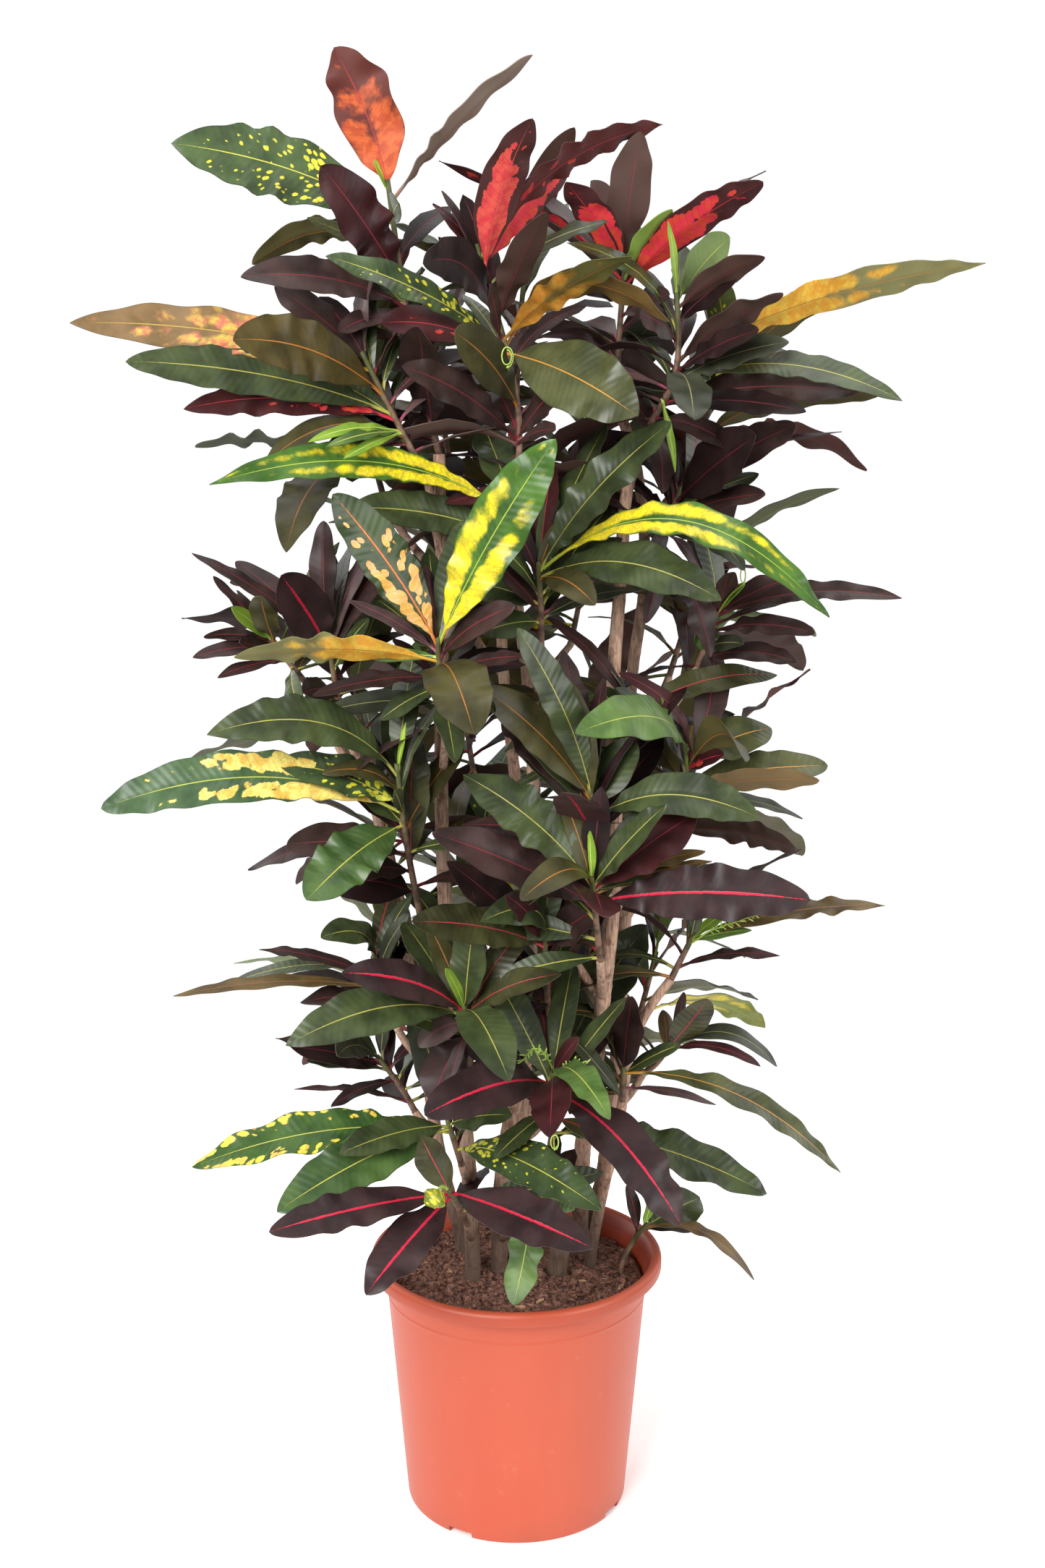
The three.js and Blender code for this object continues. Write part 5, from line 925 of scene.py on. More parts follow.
def leaf_finish(name, dark, light, rib, under, mark=None, mark_two=None, cover=0.5, fade=0.0, zone=0.5,
                zone_at=0.5, cells=1.0, blots=1.0, ragged=0.5, softness=0.03, net=0.0, rib_width=0.065,
                rib_ragged=0.2, quilted=0.14, shine=0.3, gloss=0.4):
    """One colouring: its tones, its midrib, and how its splashes lie, spread, break up and soften."""
    leaf = Finish("leaf_" + name)
    across, along, seed = leaf.parts("blade_cm")
    share_across, share_along, below = leaf.parts("blade_share")
    away, out = leaf.maths("ABSOLUTE", across), leaf.maths("ABSOLUTE", share_across)
    slant, quilt, vein = leaf_veins(leaf, across, along, away)
    shift = leaf.times(seed, 53)
    here = leaf.vector(across, along, shift)
    cloud = leaf.noise(here, 0.35, 3, 0.55)
    grain = leaf.noise(here, 6, 3, 0.6)
    tone = leaf.mix(leaf.ramp(cloud, 0.3, 0.72), dark, light)
    tone = leaf.mix(leaf.times(grain, 0.2), tone, light)
    tone = leaf.mix(leaf.times(vein, 0.12), tone, light)
    low_tone = leaf.mix(leaf.times(cloud, 0.5), under, tone)
    if mark:
        shape = leaf_splashes(leaf, across, slant, shift, out, share_along, cover, fade, zone, zone_at, cells,
                              blots, ragged, softness)
        paint = leaf.mix(leaf.ramp(leaf.noise(here, 1.3, 3), 0.4, 0.62), mark, mark_two or mark)
        if net:
            paint = leaf.mix(leaf.times(leaf_net(leaf, here), net), paint, tone)
        paint = leaf.mix(leaf.times(vein, 0.3), paint, tone)
        tone = leaf.mix(shape, tone, paint)
        low_tone = leaf.mix(leaf.times(shape, 0.85), low_tone, paint)
    narrowing = leaf.ramp(share_along, 1.02, 0.7)
    wander = leaf.times(leaf.minus(leaf.noise(here, 3.5), 0.5), rib_width * 2 * rib_ragged)
    rib_mark = leaf.ramp(leaf.plus(away, wander), leaf.times(narrowing, rib_width),
                         leaf.times(narrowing, rib_width * 0.5))
    tone = leaf.mix(leaf.times(rib_mark, 0.9), tone, rib)
    low_tone = leaf.mix(leaf.times(rib_mark, 0.7), low_tone, rib)
    tone = leaf.mix(leaf.times(leaf.ramp(out, 0.93, 1.0), 0.5), tone, dark)
    tone = leaf.mix(leaf.ramp(share_along, 0.02, -0.02), tone, rib)
    height = leaf.plus(leaf.times(quilt, -quilted), leaf.times(rib_mark, -1.0))
    height = leaf.plus(height, leaf.plus(leaf.times(grain, 0.03), cloud))
    leaf.bump(height, 0.0005, 0.5)
    rough = leaf.plus(leaf.times(below, 0.2), leaf.times(grain, 0.08))
    return leaf.set(Base_Color=leaf.mix(below, tone, low_tone), Roughness=leaf.plus(rough, gloss - 0.04),
                    Specular_IOR_Level=shine)


print("side veins every", VEIN_SPACING, "cm")

# %% [markdown]
# The table below is the plant's paint box. Each row names the shadow tone, the lit tone, the midrib,
# the underside and, where the leaf is variegated, the two colours of its splashes, dots or blots.
# The numbers say how much they cover and how fast they fade towards the tip, how closely they keep
# to a zone between rib and margin, how small, separate, ragged and soft they are, and how much of a
# green net runs through them.

# %% The colourings
GLOSSY = dict(quilted=0.5, shine=0.42, gloss=0.34)
LEAF_COLOURS = {
    "plum": dict(dark="#221614", light="#3f2c29", rib="#7a2630", under="#513a32", shine=0.24),
    "ruby": dict(dark="#211416", light="#3a2727", rib="#cb2240", under="#4b3030", rib_width=0.15,
                 rib_ragged=0.5),
    "black": dict(dark="#170f10", light="#2b1c1b", rib="#62202a", under="#3a2826", shine=0.16),
    "mauve": dict(dark="#3f2f31", light="#604c47", rib="#94485a", under="#6f5a52"),
    "dusky": dict(dark="#64544c", light="#8f7d72", rib="#a8685a", under="#8a7a6c", shine=0.12, gloss=0.55),
    "maroon": dict(dark="#2a1013", light="#431e1f", rib="#8c2c3a", under="#5f382f", shine=0.22),
    "wine": dict(dark="#2b0f14", light="#481f1e", rib="#b9283c", under="#5c2d2a", mark="#bb2b3a",
                 mark_two="#cf4c36", cells=0.9, cover=0.22, fade=0.8, zone=0.4, zone_at=0.3, blots=0.7,
                 softness=0.02),
    "bottle": dict(dark="#222a17", light="#434e2c", rib="#a8a349", under="#575a34", **GLOSSY),
    "forest": dict(dark="#262515", light="#444427", rib="#b4303c", under="#58502c", **GLOSSY),
    "bright": dict(dark="#3b5526", light="#617b3e", rib="#b3bb53", under="#6b7f42", **GLOSSY),
    "grass": dict(dark="#29401e", light="#4a6231", rib="#bcb94c", under="#65753e", **GLOSSY),
    "lime": dict(dark="#628527", light="#8caa3b", rib="#b9cb66", under="#849d4a"),
    "olive": dict(dark="#2a2814", light="#484426", rib="#a8692c", under="#57502b"),
    "bronze": dict(dark="#322c14", light="#554822", rib="#c0752c", under="#6b5229"),
    "sage": dict(dark="#31361e", light="#535633", rib="#d0913b", under="#6e7052", **GLOSSY),
    "slate": dict(dark="#23271b", light="#404433", rib="#8b8755", under="#5c604c"),
    "freckled": dict(dark="#293620", light="#485a35", rib="#c3c04a", under="#5b6634", mark="#dad23e",
                     mark_two="#b8b83c", cells=1.6, cover=0.3, fade=0.5, zone=0.2, zone_at=0.5, blots=1.0,
                     ragged=0.4, softness=0.06, **GLOSSY),
    "dappled": dict(dark="#25401a", light="#456329", rib="#b9b84c", under="#61713a", mark="#e3d94a",
                    mark_two="#e3b552", cells=1.3, cover=0.42, fade=-0.4, zone=0.9, zone_at=0.8, blots=0.95,
                    ragged=0.4, softness=0.06, **GLOSSY),
    "gold": dict(dark="#284714", light="#4a6f26", rib="#a4b53a", under="#7e8432", mark="#f0da22",
                 mark_two="#dec430", cells=0.8, cover=0.49, fade=1.15, zone=0.85, zone_at=0.56, blots=0.6,
                 ragged=0.55, softness=0.26, net=0.3, rib_width=0.06, **GLOSSY),
    "rolled": dict(dark="#4a6118", light="#7f8f2c", rib="#8f9c34", under="#a3a446", mark="#e2cf48",
                   mark_two="#d6b63c", cells=2.4, cover=0.42, zone=0.1, blots=1.0, ragged=0.8, softness=0.15,
                   net=0.2),
    "butter": dict(dark="#2b4227", light="#4c6440", rib="#aab04a", under="#7a8232", mark="#ecd673",
                   mark_two="#e2b350", cells=1.1, cover=0.64, fade=1.7, zone=0.75, zone_at=0.58, blots=0.7,
                   ragged=0.5, softness=0.05, net=0.22, rib_width=0.07, **GLOSSY),
    "peach": dict(dark="#1b2a12", light="#37481f", rib="#d0702f", under="#5c582e", mark="#e6ab6c",
                  mark_two="#dfa94a", cells=1.0, cover=0.56, fade=0.9, zone=0.8, zone_at=0.55, blots=0.95,
                  ragged=0.35, softness=0.03, net=0.15, rib_width=0.11, rib_ragged=0.4, **GLOSSY),
    "blush": dict(dark="#5f4c2e", light="#806543", rib="#b59238", under="#7a4e38", mark="#d46e5a",
                  mark_two="#d9b54e", cells=0.6, cover=0.36, fade=1.1, zone=0.2, zone_at=0.5, blots=0.55,
                  ragged=0.7, softness=0.2, net=0.15),
    "amber": dict(dark="#55592f", light="#78764a", rib="#a0702a", under="#767148", mark="#d8941f",
                  mark_two="#dcae38", cells=0.6, cover=0.4, fade=1.6, zone=0.25, zone_at=0.5, blots=0.4,
                  ragged=0.55, softness=0.14, net=0.15),
    "rust": dict(dark="#3a3a1a", light="#5c5526", rib="#9a5a22", under="#565428", mark="#b4731f",
                 mark_two="#c28a30", cells=0.6, cover=0.3, fade=1.3, zone=0.3, zone_at=0.6, blots=0.4,
                 ragged=0.6, softness=0.3),
    "ember": dict(dark="#3a1913", light="#5c2c22", rib="#b8363a", under="#5c2a24", mark="#cb6030",
                  mark_two="#b44a26", cells=0.7, cover=0.4, fade=1.3, zone=0.3, zone_at=0.45, blots=0.4,
                  ragged=0.9, softness=0.2),
    "coral": dict(dark="#2f1314", light="#421d1c", rib="#d44a4a", under="#452320", mark="#de5548",
                  mark_two="#d43a40", cells=0.8, cover=0.62, fade=1.5, zone=0.6, zone_at=0.25, blots=0.35,
                  ragged=0.9, softness=0.02),
    "crimson": dict(dark="#2b1215", light="#401d1e", rib="#cf2c3c", under="#451f20", mark="#d93042",
                    mark_two="#d4452f", cells=0.8, cover=0.6, fade=1.5, zone=0.45, zone_at=0.3, blots=0.4,
                    ragged=0.8, softness=0.02),
    "brown": dict(dark="#45361f", light="#6d5934", rib="#9c663a", under="#75603f"),
}
leaf_finishes = {name: leaf_finish(name, **colours) for name, colours in LEAF_COLOURS.items()}
print(len(leaf_finishes), "leaf colourings")

# %% [markdown]
# ## The shape of a leaf
# A leaf starts as one flat blank: a grid with an upper and a lower skin. Its columns crowd towards
# the midrib, where colour and shape change fastest. Every leaf is a copy of the blank, whose points
# are then moved: across by the blade's outline, along by the leaf's curve, and up by the fold at the
# midrib and the waves of the edge. The curve runs from the stem to the tip and arches upward.

# %% The flat blank
PETIOLE_SHARE, PETIOLE_RADIUS = 0.09, 1.5
BLADE_THICKNESS = 0.7
BEND_AT, WIDEST_AT = 0.44, 0.52
WAVE_LENGTH, WAVE_STRETCH = 30, (0.85, 0.4)
FOLD, RIPPLE, TWIST = (0.06, 0.2), (0.028, 0.055), 0.5
BLUNTNESS, SLENDER_LEAF = (0.56, 0.3), 0.2
SCALLOP, RIB_DEPTH = 0.02, 0.9
ROW_CROWDING, COLUMN_CROWDING = 0.4, 1.35


def add_measures(bm):
    """The two vector layers that tell a leaf's finish where on the blade a spot is."""
    for name in ("blade_cm", "blade_share"):
        bm.verts.layers.float_vector.new(name)


def leaf_blank(columns, rows):
    """A flat leaf from -1 to 1 across and 0 to 1 along, with skins at heights 1 and -1."""
    bm = bmesh.new()
    bmesh.ops.create_grid(bm, x_segments=columns, y_segments=rows, size=1)
    bmesh.ops.solidify(bm, geom=bm.faces[:], thickness=2)
    middle = sum(vert.co.z for vert in bm.verts) / len(bm.verts)
    for vert in bm.verts:
        x, y, z = vert.co
        share = (y + 1) / 2
        share -= ROW_CROWDING * math.sin(math.tau * share) / math.tau
        vert.co = (math.copysign(abs(x) ** COLUMN_CROWDING, x), share, 1 if z > middle else -1)
    bmesh.ops.recalc_face_normals(bm, faces=bm.faces)
    hard_edges(bm, 60)
    add_measures(bm)
    blank = bpy.data.meshes.new("leaf_blank")
    bm.to_mesh(blank)
    bm.free()
    return blank


fine_blank, small_blank, plain_blank = leaf_blank(6, 54), leaf_blank(4, 24), leaf_blank(4, 8)
print("leaf blanks:", [len(blank.polygons) for blank in (fine_blank, small_blank, plain_blank)], "faces")

# %% [markdown]
# The leaf's frame is the same as the solid's: a curve with one bend, a direction for its upper side,
# and a turn about the midrib. The turn is either given or worked out from how much of the upper side
# shows to the eye.

# %% The curve and the outline


class LeafCurve:
    """The curve of one leaf and the direction of its upper side, from where it grows to its tip."""

    def __init__(self, base, tip, axis, bow, face=None, roll=None):
        chord = tip - base
        self.length = chord.length
        ahead = chord.normalized()
        upper = axis - ahead * axis.dot(ahead)
        if upper.length < 0.05:
            upper = Vector((0, -1, 0)) + ahead * ahead.y
        self.upper = upper.normalized()
        self.base, self.tip = base, tip
        self.bend = base + chord * BEND_AT + self.upper * (2 * bow * self.length)
        self.turn = self.turn_to_face(face) if roll is None else roll

    def frame(self, share, turn=None):
        """The middle, the direction, the upper side and the right side at a share of the length."""
        rest = 1 - share
        middle = self.base * rest ** 2 + self.bend * (2 * rest * share) + self.tip * share ** 2
        ahead = ((self.bend - self.base) * rest + (self.tip - self.bend) * share).normalized()
        normal = (self.upper - ahead * self.upper.dot(ahead)).normalized()
        side = ahead.cross(normal)
        turn = self.turn if turn is None else turn
        up = normal * math.cos(turn) + side * math.sin(turn)
        return middle, ahead, up, ahead.cross(up)

    def turn_to_face(self, face):
        """The turn about the midrib that shows the eye this much of the upper side."""
        middle, ahead, up, side = self.frame(0.5, turn=0)
        sight = (EYE - middle).normalized()
        sight = (sight - ahead * sight.dot(ahead)).normalized()
        rest = ahead.cross(sight)
        if rest.dot(up) < 0:
            rest = -rest
        wanted = sight * face + rest * math.sqrt(1 - face * face)
        return math.atan2(wanted.dot(side), wanted.dot(up))


def outline(share, bluntness):
    """The half width of a blade as a share of its widest: wedge base, full middle, blunt or sharp tip."""
    if share < WIDEST_AT:
        return math.sin(math.pi / 2 * share / WIDEST_AT) ** 0.86
    return (1 - ((share - WIDEST_AT) / (1 - WIDEST_AT)) ** 2.4) ** bluntness


def blank_copy(bm, blank, slot):
    """A copy of a blank in a piece: its points, and the two layers that hold their measures."""
    first_vert, first_face = len(bm.verts), len(bm.faces)
    bm.from_mesh(blank)
    bm.verts.ensure_lookup_table()
    bm.faces.ensure_lookup_table()
    dress(bm.faces[first_face:], slot)
    layers = bm.verts.layers.float_vector
    return bm.verts[first_vert:], layers["blade_cm"], layers["blade_share"]


def add_leaf(bm, curve, width, slot, draw, blank):
    """One leaf in a piece: a copy of a blank, moved on to its curve."""
    verts, measure, portion = blank_copy(bm, blank, slot)
    seed, phase, fold = next(draw), math.tau * next(draw), varied(draw, FOLD)
    waves = curve.length * (1 - PETIOLE_SHARE) / (WAVE_LENGTH * varied(draw, WAVE_STRETCH))
    ripple = width * (RIPPLE[0] + RIPPLE[1] * next(draw) ** 1.5)
    twist = TWIST * (next(draw) - 0.5)
    slender = width / curve.length
    bluntness = varied(draw, BLUNTNESS) + max(0, SLENDER_LEAF - slender) * 4
    frames = {}
    for vert in verts:
        x, share, skin = vert.co
        if share not in frames:
            frames[share] = curve.frame(share, curve.turn + twist * (share - 0.4))
        middle, ahead, up, side = frames[share]
        blade = max(0.0, (share - PETIOLE_SHARE) / (1 - PETIOLE_SHARE))
        half = max(PETIOLE_RADIUS * (1 - 0.9 * blade), width * 0.49 * outline(blade, bluntness))
        flat = min(1, blade * 9)
        round_height = PETIOLE_RADIUS * math.sqrt(max(0, 1 - x * x))
        rib = RIB_DEPTH * (1 - blade) * max(0, 1 - abs(x) * half / 2) if skin < 0 else 0.0
        skin_height = skin * (round_height * (1 - flat) + BLADE_THICKNESS / 2 * flat) - rib * flat
        envelope = min(1, blade * 5) * min(1, (1 - blade) * 3 + 0.25)
        side_phase = phase if x > 0 else phase * 1.7 + 2.2
        turn = math.tau * waves * (blade + 0.05 * math.sin(7 * blade + phase)) + side_phase
        wave = ripple * math.sin(turn) * (1 + 0.6 * math.sin(0.31 * turn + phase)) * abs(x) ** 1.8 * envelope
        lift = fold * (abs(x) - 0.45 * x * x) * half * envelope + wave
        scallop = 1 + SCALLOP * math.cos(turn) * envelope * min(1, slender * 5)
        vert.co = middle + side * (x * half * scallop) + up * (lift + skin_height)
        past_petiole = share - PETIOLE_SHARE
        vert[measure] = (x * half / 10, past_petiole * curve.length / 10, seed)
        vert[portion] = (x, blade if past_petiole > 0 else past_petiole, 0.0 if skin > 0 else 1.0)


print("outline near the tip, blunt and sharp:", round(outline(0.9, 0.65), 2), round(outline(0.9, 1.3), 2))

# %% [markdown]
# Some leaves are too small to carry a solid of their own: young ones at the shoot tips, narrow ones
# seen edge on, and short ones deep among the stems. They are listed by shoot, in the same order of
# values, and they give the outline its fine points.

# %% The small leaves
SMALL_LEAVES = {
    "top": [
        (0.73, -22, 1113, 114, 18, 0.03, 0.6, "plum"), (0.375, 34, 993, 122, 20, 0.04, 0.5, "plum"),
        (0.385, 52, 1040, 98, 28, 0.06, 0.7, "plum"), (0.2, -60, 930, 60, 22, 0.05, 0.6, "maroon"),
        (0.9, -62, 1190, 40, 20, 0.05, 0.4, "plum"), (0.99, -22, 1178, 50, 9, 0.02, 0.7, "lime")],
    "top_left": [
        (0.9, -98, 1180, 60, 26, 0.05, 0.7, "bottle"), (0.5, -150, 1075, 80, 24, 0.06, 0.6, "plum"),
        (0.99, -118, 1215, 36, 10, 0.02, 0.6, "lime")],
    "left": [
        (0.4, -178, 982, 120, 12, 0.08, 0.7, "lime"), (0.4, -163, 978, 125, 12, 0.05, 0.7, "bright"),
        (0.4, -148, 968, 120, 11, 0.03, 0.7, "lime"), (0.8, -170, 1100, 30, 26, 0.05, 0.6, "plum")],
    "top_right": [
        (0.98, 70, 1182, 0, 20, 0.04, 0.5, "plum"), (0.7, 40, 1120, 10, 24, 0.05, 0.7, "black"),
        (0.6, 130, 1105, 20, 26, 0.06, 0.7, "plum")],
    "right_top": [
        (0.3, 137, 957, 90, 9, 0.02, 0.7, "lime"), (0.8, 186, 1122, 5, 28, 0.05, 0.7, "black"),
        (0.7, 105, 1090, 60, 28, 0.06, 0.7, "plum"), (0.15, 190, 975, 60, 26, 0.08, 0.7, "plum"),
        (0.98, 128, 1165, 20, 10, 0.02, 0.6, "lime")],
    "right": [
        (0.95, 279, 991, -24, 16, 0.08, 0.3, "plum"), (0.7, 160, 900, 70, 26, 0.06, 0.7, "plum"),
        (0.5, 118, 880, 50, 24, 0.06, 0.7, "black")],
    "right_low": [
        (0.3, 158, 820, 34, 16, 0.05, 0.7, "bright"), (0.35, 199, 808, 46, 18, 0.05, 0.7, "slate"),
        (0.9, 199, 861, 20, 9, 0.05, 0.7, "lime"), (0.7, 284, 856, -14, 16, 0.05, 0.5, "plum")],
    "fan_right": [
        (0.85, 184, 709, 82, 18, 0.05, 0.7, "wine"), (0.6, 190, 664, 60, 22, 0.08, 0.7, "bottle")],
    "behind_fan": [
        (0.7, 130, 758, 84, 16, 0.05, 0.7, "bright"), (0.5, 70, 770, 60, 26, 0.05, 0.7, "bottle")],
    "mid": [
        (0.7, 92, 900, 90, 24, 0.05, 0.7, "bottle"), (0.5, -20, 880, 80, 22, 0.05, 0.7, "plum")],
    "yellow": [
        (0.6, 9, 797, 168, 18, 0.06, 0.6, "plum"), (0.85, -128, 795, 112, 16, 0.05, 0.7, "bright"),
        (0.9, -146, 846, 84, 18, 0.06, 0.6, "mauve"), (0.95, -78, 877, 88, 20, 0.05, 0.6, "plum"),
        (0.5, -120, 740, 110, 24, 0.06, 0.7, "bottle")],
    "left_small": [
        (0.92, -188, 870, -30, 18, 0.05, 0.6, "plum"), (0.98, -192, 842, 10, 10, 0.02, 0.6, "lime"),
        (0.7, -128, 830, 30, 22, 0.05, 0.6, "bottle")],
    "left_tip": [
        (0.8, -263, 867, -10, 18, 0.06, 0.6, "plum"), (0.7, -243, 855, -30, 16, 0.06, 0.6, "plum"),
        (0.95, -248, 840, 32, 17, 0.03, 0.8, "lime"), (0.6, -262, 778, 20, 16, 0.06, 0.6, "plum")],
    "mid_left": [
        (0.7, -108, 676, 150, 14, 0.04, 0.7, "bottle"), (0.97, -97, 738, 112, 6, 0.02, 0.7, "lime"),
        (0.7, -122, 681, 62, 24, 0.06, 0.6, "plum"), (0.5, -240, 604, 60, 24, 0.08, 0.7, "plum")],
    "mid_front": [
        (0.82, 42, 790, 84, 30, 0.05, 0.75, "plum"), (0.9, 150, 770, 60, 26, 0.05, 0.7, "black")],
    "low_front": [
        (0.9, 169, 621, 128, 20, 0.08, 0.6, "brown"), (0.85, 175, 612, 140, 18, 0.06, 0.6, "brown"),
        (0.9, 122, 603, 150, 16, 0.05, 0.7, "bottle"), (0.97, 66, 640, 165, 12, 0.03, 0.7, "lime")],
    "low_centre": [
        (0.97, -10, 581, 168, 24, 0.06, 0.8, "maroon"), (0.7, 70, 610, 110, 26, 0.05, 0.7, "plum")],
    "low_left": [
        (0.7, -62, 397, 175, 18, 0.06, 0.6, "plum"), (0.98, -64, 512, 160, 12, 0.03, 0.7, "lime"),
        (0.6, -120, 470, 130, 26, 0.08, 0.7, "bottle")],
    "left_low": [
        (0.9, -119, 556, -32, 20, 0.05, 0.6, "bottle"), (0.8, -96, 563, 42, 22, 0.06, 0.6, "slate"),
        (0.7, -232, 530, 10, 18, 0.08, 0.6, "plum")],
    "left_dark": [
        (0.95, -219, 446, -20, 18, 0.05, 0.5, "plum"), (0.2, -203, 397, -6, 14, 0.06, 0.4, "plum"),
        (0.6, -170, 380, 10, 20, 0.08, 0.6, "black")],
    "low_node": [
        (0.98, 57, 447, 150, 20, 0.05, 0.6, "maroon"), (0.6, -20, 330, 150, 24, 0.08, 0.7, "bottle"),
        (0.5, 110, 330, 130, 26, 0.08, 0.7, "forest")],
    "low_back": [(0.95, 40, 523, -30, 20, 0.05, 0.7, "bottle")],
    "low_right": [
        (0.5, 183, 382, 36, 14, 0.06, 0.5, "mauve"), (0.9, 150, 440, 60, 18, 0.05, 0.7, "bottle")],
    "right_twig": [
        (0.97, 133, 473, 2, 18, 0.03, 0.8, "brown"), (0.9, 223, 419, 56, 18, 0.12, 0.5, "maroon"),
        (0.98, 152, 490, 14, 16, 0.03, 0.7, "plum")],
    "cut_branch": [
        (0.3, 238, 524, 34, 16, 0.08, 0.5, "plum"), (0.92, 164, 580, 8, 18, 0.03, 0.7, "bottle"),
        (0.97, 197, 570, 50, 13, 0.04, 0.7, "lime"), (0.98, 212, 548, 44, 12, 0.04, 0.7, "bright")],
    "seedling": [
        (0.5, 102, 304, -6, 16, 0.05, 0.7, "plum"), (0.9, 127, 303, -5, 12, 0.03, 0.7, "lime")],
}
print(sum(len(rows) for rows in SMALL_LEAVES.values()), "small leaves")

# %% [markdown]
# ## Growing the shoots
# Each solid leaf was moved a little until it hung clear of its neighbours, in a fixed order of steps.
# The same steps are tried here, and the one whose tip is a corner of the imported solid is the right
# one, so the fine leaf hangs where the solid one does. A leaf that found no clear place isn't grown.
# Two kinds of leaf have no solid: small ones, read off the photo as the others are, and inner ones,
# which stand close round every stem and make the plant as dense and dark inside as a real one is.

# %% Where each leaf ended up
GOLDEN_TURN = 0.381966 * 360
FRONT_STEPS = [(lift, shift) for lift in (0, 10, -10)
               for shift in (0, 12, -12, 24, -24, 38, -38, 54, -54, 72, -72)]
BACK_STEPS = [(rise, swing) for rise in (0, 14, -14, 28, -28)
              for swing in (0, 14, -14, 28, -28, 42, -42, 56, -56)]
SAME_POINT = 0.25
INNER_TOP_CLIMB, INNER_CLIMB_FALL, INNER_ROLL = 70, 95, 70
INNER_LENGTH, INNER_BOW, INNER_SLENDER = (0.7, 0.6), (0.04, 0.12), (0.2, 0.08)


def corners_of(node):
    """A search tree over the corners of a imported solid, in millimetres."""
    verts = frame["nodes"][node].data.vertices
    tree = KDTree(len(verts))
    for i, vert in enumerate(verts):
        tree.insert(vert.co / MM, i)
    tree.balance()
    return tree


def stem_point(stem, share):
    """The point at a share of a stem given by evenly counted points."""
    place = min(max(share, 0), 1) * (len(stem) - 1)
    index = min(int(place), len(stem) - 2)
    return stem[index].lerp(stem[index + 1], place - index)


def front_leaves(shoot, stem, corners):
    """The leaves of a front shoot: those that have a solid, then the small ones."""
    axis = (stem[-1] - stem[0]).normalized()
    for at, across, up, near, width, bow, face, colouring in shoot["leaves"]:
        for lift, shift in FRONT_STEPS:
            tip = seen(across, up + lift, near + shift)
            if corners.find(tip)[2] < SAME_POINT:
                curve = LeafCurve(stem_point(stem, at), tip, axis, bow, face=face)
                yield curve, width, colouring, fine_blank
                break
    small = SMALL_LEAVES.get(shoot["name"].removeprefix("shoot_"), ())
    for at, across, up, near, width, bow, face, colouring in small:
        curve = LeafCurve(stem_point(stem, at), seen(across, up, near), axis, bow, face=face)
        yield curve, width, colouring, small_blank


def back_rows(shoot, number):
    """The seeded values of a back shoot's leaves, from the top of its stem downward."""
    draw = draws_from(number * 7919 + 17)
    for k in range(shoot["count"]):
        share = k / (shoot["count"] - 1)
        spread = (k * GOLDEN_TURN % 360) / 360 - 0.5
        yield {
            "at": 0.97 - 0.72 * share,
            "swing": spread * 250 + (next(draw) - 0.5) * 20,
            "rise": 62 - 74 * share + (next(draw) - 0.5) * 16,
            "length": 150 + 70 * next(draw) - 30 * (1 - share),
            "slender": 0.2 + 0.07 * next(draw),
            "bow": 0.05 + 0.12 * next(draw),
            "roll": math.radians((next(draw) - 0.5) * 60),
        }


MIXED_COLOURS = ["plum", "bottle", "plum", "olive", "bottle", "maroon", "plum", "forest", "gold", "plum",
                 "slate", "bottle", "plum", "wine", "bottle", "freckled", "black", "olive", "bright"]
UPPER_COLOURS = ["plum", "black", "bottle", "maroon", "plum", "forest", "black", "mauve", "bottle"]
LOWER_COLOURS = ["bottle", "forest", "black", "bottle", "plum", "slate", "bottle", "olive", "black"]
UPPER_FROM = 880
DENSE_PART = [(300, -105, 125), (400, -130, 135), (500, -130, 95), (600, -140, 130), (700, -180, 165),
              (800, -190, 180), (900, -165, 175), (1000, -185, 190), (1100, -170, 195), (1190, -110, 95)]
OPENINGS = [(10, 1140, 30), (124, 802, 34), (190, 509, 58), (-148, 559, 32), (-158, 397, 38),
            (172, 741, 20), (-89, 350, 34), (-9, 350, 30)]


def as_seen(point):
    """Where a point is seen on the upright plane through the pot: across and up."""
    on_plane = EYE + (point - EYE) * (EYE.y / (EYE.y - point.y))
    return on_plane.x, on_plane.z


def room_for(point):
    """Whether an inner leaf may reach this point: in the dense part, and in none of the openings."""
    across, up = as_seen(point)
    if any(math.hypot(across - x, up - z) < radius for x, z, radius in OPENINGS):
        return False
    for (low, left, right), (high, next_left, next_right) in zip(DENSE_PART, DENSE_PART[1:]):
        if low <= up < high:
            share = (up - low) / (high - low)
            return left + (next_left - left) * share < across < right + (next_right - right) * share
    return False


def back_leaves(shoot, stem, corners, number):
    """The leaves of a side or back shoot, where their solids ended up."""
    axis = (stem[-1] - stem[0]).normalized()
    outward = math.atan2(stem[0].y, stem[0].x)
    for k, row in enumerate(back_rows(shoot, number)):
        base = stem_point(stem, row["at"])
        for rise, swing in BACK_STEPS:
            reach = direction(outward + math.radians(row["swing"] + swing), math.radians(row["rise"] + rise))
            tip = base + reach * row["length"]
            if corners.find(tip)[2] < SAME_POINT:
                curve = LeafCurve(base, tip, axis, row["bow"], roll=row["roll"])
                colouring = MIXED_COLOURS[(number * 5 + k * 7) % len(MIXED_COLOURS)]
                yield curve, row["length"] * row["slender"], colouring, fine_blank
                break


